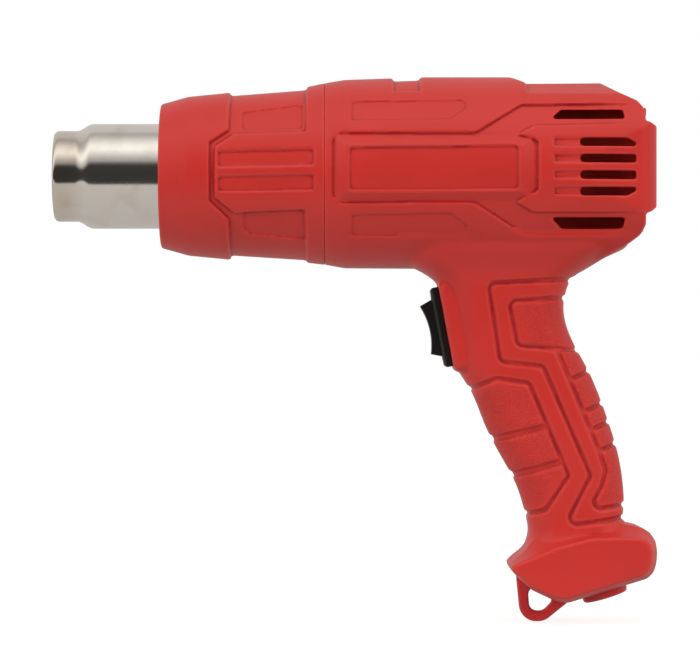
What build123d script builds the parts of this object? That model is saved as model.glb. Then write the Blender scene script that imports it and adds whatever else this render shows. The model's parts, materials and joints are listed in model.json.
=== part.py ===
"""Pistol-grip hot-air tool: two housing halves, a front sleeve, a steel nozzle and what they hold.

The nozzle points along -X, +Z is up, and the origin is the middle of the nozzle's spigot, on its
axis. Sizes are millimetres. Outlines of the side view are picture points (column, row), turned into
sizes by the tool's real length and height.
"""

import math
import os

from build123d import *

os.makedirs("parts", exist_ok=True)

# Overall size, and what it spans in the picture
tool_length = 226.6
tool_height = 206.8
tool_length_px = 596.0
tool_height_px = 544.0
origin_col_px = 69.1
axis_row_px = 176.4
centre_col_px = 350.0
centre_row_px = 332.0
view_distance = 1300.0
overrun = 60.0
gap = 0.25

# Nozzle: a drawn steel tube with a narrower spigot for accessories
spigot_d = 34.5
spigot_length = 7.4
mouth_lip = 1.7
flare_length = 5.2
tube_d = 39.8
sheet = 0.8
nozzle_flange_d = 51.0

# Front sleeve round the nozzle
sleeve_wall = 2.4
sleeve_front_wall = 3.0
nozzle_air_gap = 0.6
sleeve_rib_count = 6
sleeve_rib_wall = 1.6
sleeve_rib_end = 6.0
tongue_d = 58.6
tongue_wall = 2.0
tongue_root = 3.0
catch_d = 61.6
catch_wall = 2.0
rim_thickness = 3.5

# Barrel: rings of the round body, as (column, radius) and the rise of their centres
face_d = 54.6
cone_d = 60.4
collar_d = 63.3
waist_d = 67.0
seam_d = 69.0
shoulder_d = 71.6
barrel_d = 72.8
seam_rise = 0.85
shoulder_rise = 0.8
barrel_rise = 1.2
face_col_px = 161.5
cone_col_px = 189.0
collar_col_px = 228.0
waist_col_px = 309.0
seam_col_px = 325.0
shoulder_col_px = 345.0
barrel_col_px = 425.0
rear_col_px = 656.5
low_front_d = 60.2
low_rear_d = 64.6
low_front_col_px = 224.0
low_rear_col_px = 306.0
wall = 2.6

# Side view of the barrel behind the seam, and of the raised band round its back
barrel_side_px = [
    (300, 30), (418, 30), (524, 85.5), (599, 84.8), (617.1, 97.4), (631.8, 104.8), (637.5, 112.1),
    (639, 119.8), (638.9, 230.3), (634.8, 237.1), (621, 247.5), (599, 260.4), (586, 269), (570, 300),
    (300, 300),
]
roof_col_px = 524.0
roof_ridge = (6.0, 35.7)
roof_eaves = (22.3, 30.0)
notch_px = [(393, 30), (420.5, 30), (420.5, 92), (393, 92)]
notch_depth = 1.2
band_front_px = [
    (534.4, 211.7), (517, 201.5), (533, 194), (539, 190), (539, 141), (534, 137.5), (519, 133.5),
    (534.4, 124.7),
]
band_side_px = [*band_front_px, (642, 126), (650.4, 130.1), (650.4, 210), (643.5, 214.8)]
band_reach_px = [
    *band_front_px, (651, 121.8), (651, 90), (700, 90), (700, 245), (651, 245), (651, 211.7),
]
rear_pad_rows_px = ((110.0, 119.5), (214.8, 227.0))
rear_pad_col_px = 639.0
rear_pad_reach = 1.6
rear_pad_half_width = 14.0
rear_taper_col_px = 585.0
rear_half_width = 32.0
rear_corner_r = 8.0

# Relief on the barrel's sides
channel_depth = 1.3
fade_cols_px = (594.0, 638.0)
channel_px = [
    (331.5, 131.5), (476, 131.3), (523, 102), (670, 101), (670, 234), (524.5, 234), (475, 203),
    (331.5, 203.2),
]
panel_px = [
    (335, 134.3), (519, 134.3), (531, 138), (536, 145), (536, 189), (531, 196), (516, 201.2),
    (335, 201.2),
]
panel_plateau_rows_px = (144.6, 190.8)
panel_plateau_cols_px = (347.0, 523.5)
panel_lift = 0.3
label_px = [(349, 146.3), (519.3, 144.3), (519.3, 189.6), (349, 191)]
label_depth = 0.9
strip_px = [(351, 100.3), (463, 99), (467.5, 102), (467.5, 108.5), (451, 120.2), (351, 121.4)]
lower_strip_px = [(351, 215), (451.5, 213.2), (468, 225.5), (468, 236.2), (351, 237)]
strip_depth = 0.7
sleeve_slot_px = [(217, 150.6), (314, 148.6), (314, 165.4), (217, 166.9)]
lower_sleeve_slot_px = [(217.5, 175.9), (314, 174.4), (314, 190.8), (217.5, 192)]
sleeve_low_px = [
    (228, 30), (228, 128.9), (208.4, 141.6), (208.4, 200.5), (228, 218.7), (228, 320), (306, 320),
    (306, 209.5), (234, 212.8), (214.5, 197), (214.5, 146), (233, 133.2), (306, 131), (306, 30),
]
window_px = [(241.5, 111.5), (303.5, 103.2), (303.5, 129.6), (244.5, 131), (241.5, 128)]
lower_window_px = [(242.5, 212.5), (304.5, 210), (305.5, 240.3), (249, 234.3), (242.5, 228)]
window_depth = 0.7
slot_depth = 0.9
outline_corner_r = 1.1
channel_corner_r = 4.2
panel_corner_r = 1.5

# Air inlets: four slots in the band, a vent above and one below, slots in the back
vent_rows_px = (141.4, 157.9, 174.4, 190.9)
vent_cols_px = (580.5, 637.0)
vent_blind_col_px = 554.0
vent_height_px = 8.4
vent_cut_px = 9.0
vent_fall_px = 4.6
vent_blind_depth = 0.8
upper_vent_px = [(551.8, 117.8), (562.6, 108.2), (624.5, 108.2), (626.5, 117.6)]
lower_vent_px = [(551.8, 216.7), (626.8, 216.7), (624.8, 227.3), (562.6, 227.3)]
vent_inner_half = 17.0
vent_corner_r = 0.6
rear_slot_count = 4
rear_slot_half_width = 17.0
rear_slot_height = 2.6
rear_slot_pitch = 6.1
baffle_x = 180.0
baffle_y = 8.0
baffle_wall = 1.6

# Handle: stations down the grip, as (row, front column, back column, share of the half width)
handle_half_width = 18.0
handle_stations_px_shares = [
    (232, 396, 643, 1.46), (246, 399, 626, 1.36), (257, 402, 606, 1.25), (265, 408.5, 592, 1.15),
    (270.5, 418.5, 583, 1.09), (277, 429.5, 572.5, 1.04), (287, 439.5, 566.5, 1.0),
    (303, 445.5, 562.8, 0.99), (320, 449, 564, 0.98), (345, 453, 573.5, 0.97),
    (366, 456.5, 585, 0.96), (390, 470.5, 596, 0.96), (422, 484, 607.5, 0.97), (454, 500, 617, 0.96),
    (486, 517, 622, 0.93), (506, 523.5, 622.5, 0.92), (522, 527.5, 624, 0.93),
    (533, 528, 637, 0.97), (545, 524.5, 644, 1.06), (556, 516, 647, 1.13),
]
corner_share = 0.72

# Foot of the handle
underside_px = ((645, 576.6), (566, 600.8))
foot_half_width = 21.5
foot_core_half_width = 12.0
foot_core_px = [
    (507.2, 562.5), (513, 556.5), (522, 549.5), (528, 541), (536, 533), (622, 522), (636, 525.2),
    (647, 530.5), (653, 539), (654.8, 550), (653.8, 562), (651, 570.5), (645, 576.6), (566, 600.8),
    (553.3, 598.8), (531, 588.4), (516.5, 575.7), (509, 567.5),
]
foot_side_px = [
    (511, 566.8), (520, 563.2), (531, 559), (544, 554.3), (560, 548), (588.4, 539.6), (620.3, 538.2),
    (643, 538.6), (650, 542.5), (652.4, 550.5), (651.6, 561.5), (649, 569.5), (644, 575.4),
    (566, 599.6), (553.3, 597.4), (531, 587.2), (517.5, 575.2), (512, 570),
]
foot_wall = 2.6

# Grip relief: grooves along lines of the side view
groove_depth = 0.9
groove_width_px = 5.2
pad_gap_width_px = 7.6
rear_gap_width_px = 5.0
groove_corner_px = 7.0
outer_groove_px = [
    (610, 277.5), (488.5, 283.4), (500.5, 362), (543.5, 366.5), (591, 476), (565, 526.5),
    (650, 515.5),
]
thumb_groove_px = [(600, 295.5), (509, 300.8), (518, 346), (600, 351.5)]
front_groove_px = [(455, 396), (497, 378.5), (529.5, 383.3), (569, 476), (545.5, 511), (505, 521)]
rear_groove_px = [(556.5, 347), (599, 449), (606.5, 471), (602, 487), (588, 511), (650, 502.5)]
pad_gaps_px = [[(480, 443.5), (549, 426)], [(500, 480), (563, 462)]]
rear_gaps_px = [
    [(569, 380.5), (610, 362)], [(582.5, 412.5), (622, 396.5)], [(590, 431), (626, 415.5)],
    [(598.5, 452), (632, 437.5)],
]

# Rocker switch: its seat on the handle's front, and the parts that snap into it
seat_top_px = (437.5, 286.0)
seat_foot_px = (452.8, 367.0)
bezel_length = 30.6
bezel_width = 14.8
bezel_thickness = 3.2
bezel_bevel = 0.9
switch_body_length = 27.4
switch_body_width = 12.8
switch_body_depth = 21.0
rocker_well_depth = 6.0
rocker_well_length = 24.8
rocker_well_width = 11.4
rocker_width = 10.6
rocker_pivot_rise = -0.8
rocker_pin_d = 2.4
rocker_pin_clearance = 0.06
rocker_length = 22.6
rocker_height = 12.3
rocker_face_shares = [(-0.416, 0.593), (-0.04, 0.488), (0.412, 0.659)]
rocker_skirt_shares = [
    (0.5, 0.195), (0.46, -0.098), (0.115, -0.341), (-0.115, -0.341), (-0.46, -0.098), (-0.5, 0.195),
]
rocker_edge_r = 0.5
seat_block_length = 36.0
seat_block_width = 29.0
seat_block_depth = 7.0
seat_block_r = 2.2
blade_width = 4.8
blade_thickness = 0.8
blade_length = 7.5
blade_offsets = (-9.0, -3.0, 3.0, 9.0)

# Screws across the tool, as picture points, with their bosses
screw_points_px = [
    (386, 104.5), (386, 244.5), (549, 101), (592, 244.5), (445.5, 275.4), (540, 425), (551, 574),
    (637, 549),
]
screw_shank_d = 2.6
screw_shank_length = 17.0
screw_head_d = 5.6
screw_head_height = 1.8
screw_drive_d = 2.0
screw_drive_depth = 1.1
head_seat_y = 7.0
pilot_d = 2.8
pilot_depth = 11.5
shank_hole_d = 3.4
counterbore_d = 6.2
left_boss_d = 7.0
right_boss_d = 8.4

# Ring ribs inside the halves, and the notch that lets the leads by
rib_wall = 1.8
nozzle_rib_x = 104.6
nozzle_rib_bore_d = 41.0
heater_rib_bore_d = 40.0
duct_rib_x = 129.0
duct_rib_bore_d = 52.0
duct_seat_xs = (137.4, 163.0)
lead_notch_half_width = 5.5
lead_notch_top = 29.3

# Heater: two crossed mica boards with their winding, in a mica sleeve
mica_wall = 0.6
mica_sleeve_x = 22.0
board_wall = 0.9
boards_d = 33.0
boards_x = 26.0
board_tab = 2.5
slip = 0.1
coil_wire_d = 1.4
coil_pitch = 7.0
coil_turns = 10
coil_x = 33.0
coil_angle = 22.0
coil_return_r = 5.0
seat_ring_thickness = 1.6
heater_base_d = 49.0
heater_base_thickness = 4.0
heater_window_d = 9.0
heater_window_pcd = 27.0
heater_window_angle = 57.0
rivet_d = 2.4
rivet_head_d = 4.0
rivet_head_height = 1.2
thermostat_d = 7.0
thermostat_height = 4.0
thermostat_rise = 8.0
guard_x = -1.0
guard_length = 3.0
guard_wall = 0.8
guard_core_d = 6.0
guard_blades = 6

# Fan, its duct and the motor
duct_length = 43.8
duct_d = 58.0
duct_bore_d = 54.8
motor_cup_d = 31.0
motor_cup_length = 24.0
vane_count = 7
vane_wall = 1.6
motor_d = 27.6
motor_can_wall = 1.0
motor_set_back = 1.4
motor_length = 27.0
motor_cap_thickness = 3.0
magnet_wall = 3.2
magnet_length = 18.0
magnet_gap_half = 3.0
armature_d = 17.6
armature_length = 15.0
armature_slots = 5
armature_slot_width = 2.2
armature_slot_depth = 5.0
commutator_d = 7.0
commutator_length = 3.0
bush_d = 6.0
bush_length = 2.6
shaft_d = 2.3
bush_clearance = 0.04
fan_d = 53.6
fan_hub_d = 20.0
fan_hub_wall = 1.6
fan_depth = 10.0
fan_set_back = 3.4
fan_blade_count = 9
fan_blade_wall = 1.4
fan_blade_chord = 13.0
fan_blade_pitch = 52.0
fan_collar_d = 7.0
circuit_board_d = 24.0
circuit_board_thickness = 1.4
circuit_board_gap = 4.0
diode_d = 2.7
diode_length = 5.0
diode_pcd = 15.0
diode_count = 4
motor_tab = (2.4, 0.8)
motor_tab_offset = 8.5

# Parts in the grip: capacitor, terminal block, leads
capacitor_point_px = (508.0, 403.0)
capacitor_size = (10.0, 11.0, 13.0)
terminal_point_px = (565.0, 478.0)
terminal_size = (14.0, 16.0, 9.0)
terminal_way_d = 3.2
terminal_way_offset = 4.2
holder_wall = 1.6
lead_d = 1.6
lead_bend_r = 3.0
lead_pitch = 1.7
lead_stub = 4.0
heater_route_px = [[(400.7, 221.5), (400.7, 256.7)], [(400.7, 213.2), (400.7, 256.7)]]
motor_route_px = [(404.6, 256.7)]
drop_point_px = (537.5, 256.7)
capacitor_route_px = [(537.5, 363.0), (508.0, 366.0)]
supply_route_px = [(565.0, 441.0), (554.6, 422.0)]
supply_turn_px = (554.6, 403.0)
supply_y = 1.5

# Cord inlet in the foot, its bush and clamp
inlet_point_px = (603.5, 589.6)
inlet_flange_d = 17.4
inlet_flange_reach = 3.0
inlet_neck_d = 12.6
inlet_collar_d = 16.0
inlet_collar_thickness = 1.8
inlet_bore_d = 8.0
inlet_rim_r = 1.2
clamp_length = 21.0
clamp_width = 6.0
clamp_thickness = 3.0
clamp_rise = 13.5
clamp_y = 3.5
clamp_post_d = 5.4
clamp_post_offset = 7.4
clamp_saddle_d = 9.0
clamp_screw_length = 9.0
clamp_screw_head_d = 4.6

# Hanging eye in the foot
eye_outer_px = [
    (514.2, 559), (520.4, 621), (544, 621), (574, 597), (574, 573), (562, 562),
]
eye_inner_px = [(527.5, 585.5), (529.5, 610.5), (542.5, 610.5), (556, 597.2), (541, 587)]
eye_thickness = 5.0
eye_outer_r = 6.4
eye_inner_r = 3.0
eye_edge_r = 0.9


def side_point(col, row, depth=0.0):
    """Turn a picture point into (x, z), for a surface that far in front of the middle plane."""
    near = 1 - depth / view_distance
    mid_col = centre_col_px + (col - centre_col_px) * near
    mid_row = centre_row_px + (row - centre_row_px) * near
    x = (mid_col - origin_col_px) * tool_length / tool_length_px
    z = (axis_row_px - mid_row) * tool_height / tool_height_px
    return x, z


def side_face(points_px, depth=0.0, corner_r=0.0, grow=0.0):
    """Face in the middle plane from picture points, with rounded corners, grown or shrunk."""
    points = [side_point(col, row, depth) for col, row in points_px]
    face = make_face(Polyline(*points, close=True))
    if corner_r:
        face = fillet(face.vertices(), corner_r)
    if grow:
        face = offset(face, amount=grow, kind=Kind.INTERSECTION)
    return Plane.XZ * face


def side_prism(points_px, depth=0.0, corner_r=0.0, grow=0.0):
    """Prism across the tool from picture points."""
    return extrude(side_face(points_px, depth, corner_r, grow), amount=overrun, both=True)


def tube_x(x, length, outer_d, bore_d=0.0, rise=0.0):
    """Round bar or tube along X."""
    ring = Circle(outer_d / 2)
    if bore_d:
        ring -= Circle(bore_d / 2)
    start = Plane(origin=(x, 0, rise), x_dir=(0, 1, 0), z_dir=(1, 0, 0))
    return extrude(start * ring, amount=length)


def block(low, high):
    """Box between two corners."""
    size = [b - a for a, b in zip(low, high)]
    middle = [(a + b) / 2 for a, b in zip(low, high)]
    return Pos(*middle) * Box(*size)


def pin_y(x, z, y_low, y_high, diameter):
    """Round bar across the tool."""
    start = Plane(origin=(x, y_high, z), x_dir=(1, 0, 0), z_dir=(0, -1, 0))
    return extrude(start * Circle(diameter / 2), amount=y_high - y_low)


def pin_x(x, length, y, z, diameter):
    """Round bar along X, off the axis."""
    return Pos(0, y, z) * tube_x(x, length, diameter)


def joined(solids):
    """Union of several solids."""
    total = solids[0]
    for solid in solids[1:]:
        total += solid
    return total


def relieve(body, prism, floor):
    """Lower a body to a floor wherever a prism passes over it."""
    return body - (prism - floor)


def ring_loft(rings, inset=0.0):
    """Round body through rings given as (column, diameter, rise)."""
    circles = []
    for col, diameter, rise in rings:
        x = side_point(col, axis_row_px)[0]
        start = Plane(origin=(x, 0, rise), x_dir=(0, 1, 0), z_dir=(1, 0, 0))
        circles.append(start * Circle(diameter / 2 - inset))
    return loft(circles, ruled=True)


def ahead(col):
    """X of a picture column in the middle plane."""
    return side_point(col, axis_row_px)[0]


seam_x = ahead(seam_col_px)
rear_x = side_point(rear_col_px, axis_row_px, rear_half_width - rear_corner_r)[0]
nozzle_flange_x = nozzle_rib_x + rib_wall
seat_ring_x = nozzle_flange_x + sheet
heater_base_x = seat_ring_x + seat_ring_thickness
heater_rib_x = heater_base_x + heater_base_thickness
duct_x = duct_rib_x + rib_wall
motor_x = duct_x + motor_set_back
fan_x = motor_x + motor_length + fan_set_back
mica_sleeve_d = tube_d - 2 * sheet - 2 * slip
mica_bore_d = mica_sleeve_d - 2 * mica_wall


# Outer forms

def sleeve_body(inset=0.0):
    """Full outer form of the front sleeve."""
    rings = [
        (face_col_px, face_d, 0),
        (cone_col_px, cone_d, 0),
        (collar_col_px, collar_d, 0),
        (waist_col_px, waist_d, seam_rise * 2 / 3),
        (seam_col_px, seam_d, seam_rise),
    ]
    return ring_loft(rings, inset)


def sleeve_low_body(inset=0.0):
    """Floor of the sleeve's lowered top and bottom."""
    slope = (low_rear_d - low_front_d) / (low_rear_col_px - low_front_col_px)
    start_d = low_front_d - slope * (low_front_col_px - face_col_px)
    end_d = low_rear_d + slope * (seam_col_px - low_rear_col_px)
    rings = [(face_col_px, start_d, 0), (seam_col_px, end_d, seam_rise / 2)]
    return ring_loft(rings, inset)


def barrel_round(inset=0.0):
    """Round barrel behind the seam, before its back is shaped."""
    rings = [
        (seam_col_px, seam_d, seam_rise),
        (shoulder_col_px, shoulder_d, shoulder_rise),
        (barrel_col_px, barrel_d, barrel_rise),
        (rear_col_px, barrel_d, barrel_rise),
    ]
    return ring_loft(rings, inset)


def rear_plan(inset=0.0):
    """Plan of the barrel, drawn in towards a back with rounded corners."""
    x_taper = ahead(rear_taper_col_px)
    wide = barrel_d / 2 + overrun
    full = barrel_d / 2
    corners = [
        (seam_x - overrun, wide), (x_taper, wide), (x_taper, full), (rear_x, rear_half_width),
        (rear_x, -rear_half_width), (x_taper, -full), (x_taper, -wide), (seam_x - overrun, -wide),
    ]
    face = make_face(Polyline(*corners, close=True))
    face = fillet(face.vertices().filter_by(lambda v: abs(v.X - rear_x) < gap), rear_corner_r)
    if inset:
        face = offset(face, amount=-inset, kind=Kind.INTERSECTION)
    return extrude(face, amount=overrun, both=True)


def roof(inset=0.0):
    """What the two facets along the top of the barrel's back take away."""
    ridge_y, ridge_z = roof_ridge
    eaves_y, eaves_z = roof_eaves
    slope = (ridge_z - eaves_z) / (eaves_y - ridge_y)
    far_z = ridge_z - slope * (overrun - ridge_y)
    section = Polyline(
        (-overrun, overrun),
        (-overrun, far_z - inset),
        (-ridge_y, ridge_z - inset),
        (ridge_y, ridge_z - inset),
        (overrun, far_z - inset),
        (overrun, overrun),
        close=True,
    )
    start = Plane(origin=(ahead(roof_col_px), 0, 0), x_dir=(0, 1, 0), z_dir=(1, 0, 0))
    return extrude(start * make_face(section), amount=tool_length)


def barrel_body(inset=0.0):
    """Barrel with its stepped top, sloped back and raised rear band, shrunk by inset."""
    side = side_prism(barrel_side_px, grow=-inset) + side_prism(band_side_px, grow=-inset)
    return (barrel_round(inset) & side & rear_plan(inset)) - roof(inset)


def grip_body(inset=0.0):
    """Neck and grip, lofted through rounded sections."""
    sections = []
    for row, front, back, width_share in handle_stations_px_shares:
        x_front, z = side_point(front, row)
        x_back = side_point(back, row)[0]
        half = handle_half_width * width_share - inset
        length = x_back - x_front - 2 * inset
        section = RectangleRounded(length, 2 * half, half * corner_share)
        sections.append(Pos((x_front + x_back) / 2, 0, z) * section)
    return loft(sections)


def foot_body(inset=0.0):
    """Foot of the handle: a core, and two sides that slope out to flat cheeks."""
    core = side_face(foot_core_px, grow=-inset)
    side = side_face(foot_side_px, foot_half_width, grow=-inset)
    inner = foot_core_half_width - inset / 2
    outer = foot_half_width - inset
    body = extrude(core, amount=inner, both=True)
    for way in (1, -1):
        body += loft([Pos(0, way * inner, 0) * core, Pos(0, way * outer, 0) * side], ruled=True)
    return body


def seat_plane():
    """Plane of the switch's seat: local x runs up it, local z points out of it."""
    top = side_point(*seat_top_px)
    foot = side_point(*seat_foot_px)
    middle = ((top[0] + foot[0]) / 2, 0, (top[1] + foot[1]) / 2)
    up = Vector(top[0] - foot[0], 0, top[1] - foot[1]).normalized()
    return Plane(origin=middle, x_dir=up, z_dir=up.cross(Vector(0, 1, 0)))


def seat_block():
    """Rounded block that frames the switch on the handle's front."""
    size = (seat_block_length, seat_block_width, seat_block_depth)
    solid = Pos(0, 0, -seat_block_depth / 2) * Box(*size)
    solid = fillet(solid.edges().filter_by(Axis.Z), seat_block_r * 2)
    solid = fillet(solid.faces().sort_by(Axis.Z)[-1].edges(), seat_block_r)
    return seat_plane() * solid


# Relief and openings

def groove(points_px, width_px):
    """Prism along a line of the side view, of even width."""
    points = [side_point(col, row, handle_half_width) for col, row in points_px]
    scale = tool_length / tool_length_px
    if len(points) > 2:
        line = FilletPolyline(*points, radius=groove_corner_px * scale)
    else:
        line = Line(*points)
    face = Plane.XZ * trace(line, line_width=width_px * scale)
    return extrude(face, amount=-overrun)


def grip_grooves():
    """Everything that the grip's relief cuts on one side."""
    lines = (outer_groove_px, thumb_groove_px, front_groove_px, rear_groove_px)
    cuts = [groove(line, groove_width_px) for line in lines]
    cuts += [groove(line, pad_gap_width_px) for line in pad_gaps_px]
    cuts += [groove(line, rear_gap_width_px) for line in rear_gaps_px]
    return joined(cuts)


def raised_panel():
    """Panel in the channel: bevelled on four sides and curved with the barrel."""
    depth = barrel_d / 2
    floor_r = depth - channel_depth - gap
    top_r = depth + panel_lift
    cols = [col for col, _ in panel_px]
    rows = [row for _, row in panel_px]
    x_low, z_top = side_point(min(cols), min(rows), depth)
    x_high, z_foot = side_point(max(cols), max(rows), depth)
    x_low_top, z_top_top = side_point(panel_plateau_cols_px[0], panel_plateau_rows_px[0], depth)
    x_high_top, z_foot_top = side_point(panel_plateau_cols_px[1], panel_plateau_rows_px[1], depth)

    def reach(radius, z):
        return math.sqrt(radius**2 - (z - barrel_rise) ** 2)

    inner_y = reach(floor_r, z_top) - wall
    section = Polyline(
        (reach(top_r, z_top_top), z_top_top),
        (reach(floor_r, z_top), z_top),
        (inner_y, z_top),
        (inner_y, z_foot),
        (reach(floor_r, z_foot), z_foot),
        (reach(top_r, z_foot_top), z_foot_top),
    )
    crown = ThreePointArc(
        (reach(top_r, z_foot_top), z_foot_top),
        (top_r, barrel_rise),
        (reach(top_r, z_top_top), z_top_top),
    )
    start = Plane(origin=(x_low, 0, 0), x_dir=(0, 1, 0), z_dir=(1, 0, 0))
    across = extrude(start * make_face(section + crown), amount=x_high - x_low)
    profile = Polyline(
        (x_low, floor_r),
        (x_low_top, top_r),
        (x_high_top, top_r),
        (x_high, floor_r),
        (x_high, floor_r - wall * 2),
        (x_low, floor_r - wall * 2),
        close=True,
    )
    turned = revolve(Plane.XZ * make_face(profile), Axis.X)
    turned = Pos(0, 0, barrel_rise) * turned
    return across & turned & side_prism(panel_px, depth, panel_corner_r)


def slot_outline(row):
    """Outline of one open slot, with the corner cut that the first and last have."""
    left, right = vent_cols_px
    top = row - vent_height_px / 2
    foot = row + vent_height_px / 2
    outline = [(left + vent_height_px / 2, foot), (left + vent_height_px / 2, top)]
    if row == vent_rows_px[0]:
        outline += [(right - vent_cut_px, top), (right, top + vent_fall_px)]
    else:
        outline += [(right, top)]
    if row == vent_rows_px[-1]:
        outline += [(right, foot - vent_fall_px), (right - vent_cut_px, foot)]
    else:
        outline += [(right, foot)]
    return outline


def vent_slots():
    """Open slots of the band and the vents above and below it."""
    depth = barrel_d / 2
    cuts = [side_prism(slot_outline(row), depth) for row in vent_rows_px]
    end_d = vent_height_px * tool_length / tool_length_px * (1 - depth / view_distance)
    for row in vent_rows_px:
        x, z = side_point(vent_cols_px[0] + vent_height_px / 2, row, depth)
        cuts.append(pin_y(x, z, -overrun, overrun, end_d))
    cuts.append(side_prism(upper_vent_px, depth, vent_corner_r))
    cuts.append(side_prism(lower_vent_px, depth, vent_corner_r))
    core = block((-overrun, -vent_inner_half, -overrun), (rear_x, vent_inner_half, overrun))
    return joined(cuts) - core


def blind_slots():
    """Shallow fronts of the band's slots."""
    half_px = vent_height_px / 2
    left = vent_blind_col_px
    right = vent_cols_px[0] + half_px
    slots = []
    for row in vent_rows_px:
        outline = [
            (left, row - half_px), (right, row - half_px), (right, row + half_px),
            (left, row + half_px),
        ]
        slots.append(side_prism(outline, barrel_d / 2, vent_corner_r))
    return joined(slots)


def rear_slots():
    """Slots through the back of the band."""
    middle_row = (vent_rows_px[0] + vent_rows_px[-1]) / 2
    z_middle = side_point(rear_col_px, middle_row, barrel_d / 2)[1]
    first = z_middle - rear_slot_pitch * (rear_slot_count - 1) / 2
    slots = []
    for k in range(rear_slot_count):
        slot = SlotOverall(rear_slot_half_width * 2, rear_slot_height)
        slots.append(Pos(0, first + k * rear_slot_pitch) * slot)
    start = Plane(origin=(rear_x - wall * 2, 0, 0), x_dir=(0, 1, 0), z_dir=(1, 0, 0))
    return joined([extrude(start * slot, amount=wall * 3) for slot in slots])


def far_side(body):
    """The part of a body on the +Y side of the middle plane."""
    reach = tool_length
    return body & block((-reach, 0, -reach), (2 * reach, reach, reach))


def channel_floor():
    """Floor of the channel, which rises to nothing towards the back."""
    start, end = fade_cols_px
    rise = [
        (start, barrel_d - 2 * channel_depth, barrel_rise),
        (2 * end - start, barrel_d + 2 * channel_depth, barrel_rise),
    ]
    return barrel_body(channel_depth) + (barrel_body() & ring_loft(rise))


def dressed_barrel():
    """One side of the barrel with its channel, panel, strips and blind slots."""
    depth = barrel_d / 2
    body = far_side(barrel_body())
    channel = side_prism(channel_px, depth, channel_corner_r) - side_prism(band_reach_px, depth)
    body = relieve(body, channel, channel_floor())
    body += raised_panel()
    label_d = barrel_d - 2 * (label_depth - panel_lift)
    label_floor = tube_x(seam_x, rear_x - seam_x, label_d, rise=barrel_rise)
    body = relieve(body, side_prism(label_px, depth, outline_corner_r * 3 / 2), label_floor)
    strips = side_prism(strip_px, depth * 3 / 4, outline_corner_r)
    strips += side_prism(lower_strip_px, depth * 3 / 4, outline_corner_r)
    body = relieve(body, strips, barrel_round(strip_depth))
    body = relieve(body, side_prism(notch_px, depth / 2), barrel_round(notch_depth))
    body = relieve(body, blind_slots(), barrel_round(vent_blind_depth))
    for low, high in rear_pad_rows_px:
        x_pad, z_high = side_point(rear_pad_col_px, low)
        z_low = side_point(rear_pad_col_px, high)[1]
        pad = block((x_pad - wall, 0, z_low), (x_pad + rear_pad_reach, rear_pad_half_width, z_high))
        body += pad
    return body


# Housing

def cavity():
    """Hollow of the halves."""
    hollow = barrel_body(wall + channel_depth / 2) + grip_body(wall) + foot_body(foot_wall)
    hollow -= block((0, -overrun, -overrun), (seam_x + rim_thickness, overrun, overrun))
    return hollow + tube_x(seam_x - gap, rim_thickness + 2 * gap, tongue_d + 2 * gap)


def ring_ribs():
    """Ribs that hold the sleeve, the nozzle, the heater and the duct."""
    ribs = tube_x(nozzle_rib_x, rib_wall, barrel_d, nozzle_rib_bore_d)
    ribs += tube_x(heater_rib_x, rib_wall, barrel_d, heater_rib_bore_d)
    ribs += tube_x(duct_rib_x, rib_wall, barrel_d, duct_rib_bore_d)
    ribs += tube_x(duct_x + duct_length, rib_wall, barrel_d, duct_rib_bore_d)
    for x in duct_seat_xs:
        ribs += tube_x(x, rib_wall, barrel_d, duct_d)
    notch = block(
        (heater_rib_x + 2 * rib_wall, -lead_notch_half_width, -overrun),
        (duct_x + duct_length + 2 * rib_wall, lead_notch_half_width, -lead_notch_top),
    )
    return (ribs - notch) & barrel_body(wall / 2)


def baffle():
    """Wall beside the middle of the hollow, behind the side's vents."""
    low = (baffle_x, baffle_y, -overrun)
    high = (rear_x, baffle_y + baffle_wall, overrun)
    return block(low, high) & barrel_body(wall / 2)


def inlet_plane():
    """Plane of the cord inlet on the foot's underside, its z pointing out and down."""
    high = side_point(*underside_px[0])
    low = side_point(*underside_px[1])
    x, z = side_point(*inlet_point_px)
    along = Vector(high[0] - low[0], 0, high[1] - low[1]).normalized()
    foot = low[1] + (x - low[0]) * along.Z / along.X
    return Plane(origin=(x, 0, foot), x_dir=along, z_dir=along.cross(Vector(0, 1, 0)) * -1)


def clamp_places():
    """Places of the two posts that carry the cord clamp."""
    plane = inlet_plane()
    points = [plane.from_local_coords((way * clamp_post_offset, 0, -clamp_rise)) for way in (1, -1)]
    return [(point.X, point.Z) for point in points]


def eye_solid(grow=0.0):
    """Flat blank of the hanging eye, or the slot that takes it when grown."""
    face = side_face(eye_outer_px, corner_r=eye_outer_r, grow=grow)
    return extrude(face, amount=eye_thickness / 2 + grow, both=True)


def component_box(point_px, size, grow=0.0):
    """Box at a picture point in the grip."""
    x, z = side_point(*point_px)
    length, width, height = [edge + 2 * grow for edge in size]
    return Pos(x, 0, z) * Box(length, width, height)


def half_shell():
    """One side of the housing, as both sides have it: outer form, hollow, ribs and openings."""
    grip = far_side(grip_body())
    grip = relieve(grip, grip_grooves(), grip_body(groove_depth))
    body = dressed_barrel() + grip + far_side(foot_body()) + far_side(seat_block())
    body -= cavity()
    body += far_side(ring_ribs()) + baffle()
    body -= vent_slots()
    body -= rear_slots()
    opening = Box(switch_body_length, switch_body_width, switch_body_depth * 2)
    body -= seat_plane() * opening
    body -= inlet_plane() * Cylinder(inlet_neck_d / 2, wall * 4)
    return body - eye_solid(gap)


def boss_room():
    """Space that bosses may fill: the hollow and part of the walls round it."""
    return barrel_body(wall / 2) + grip_body(wall / 2) + foot_body(foot_wall / 2)


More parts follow.
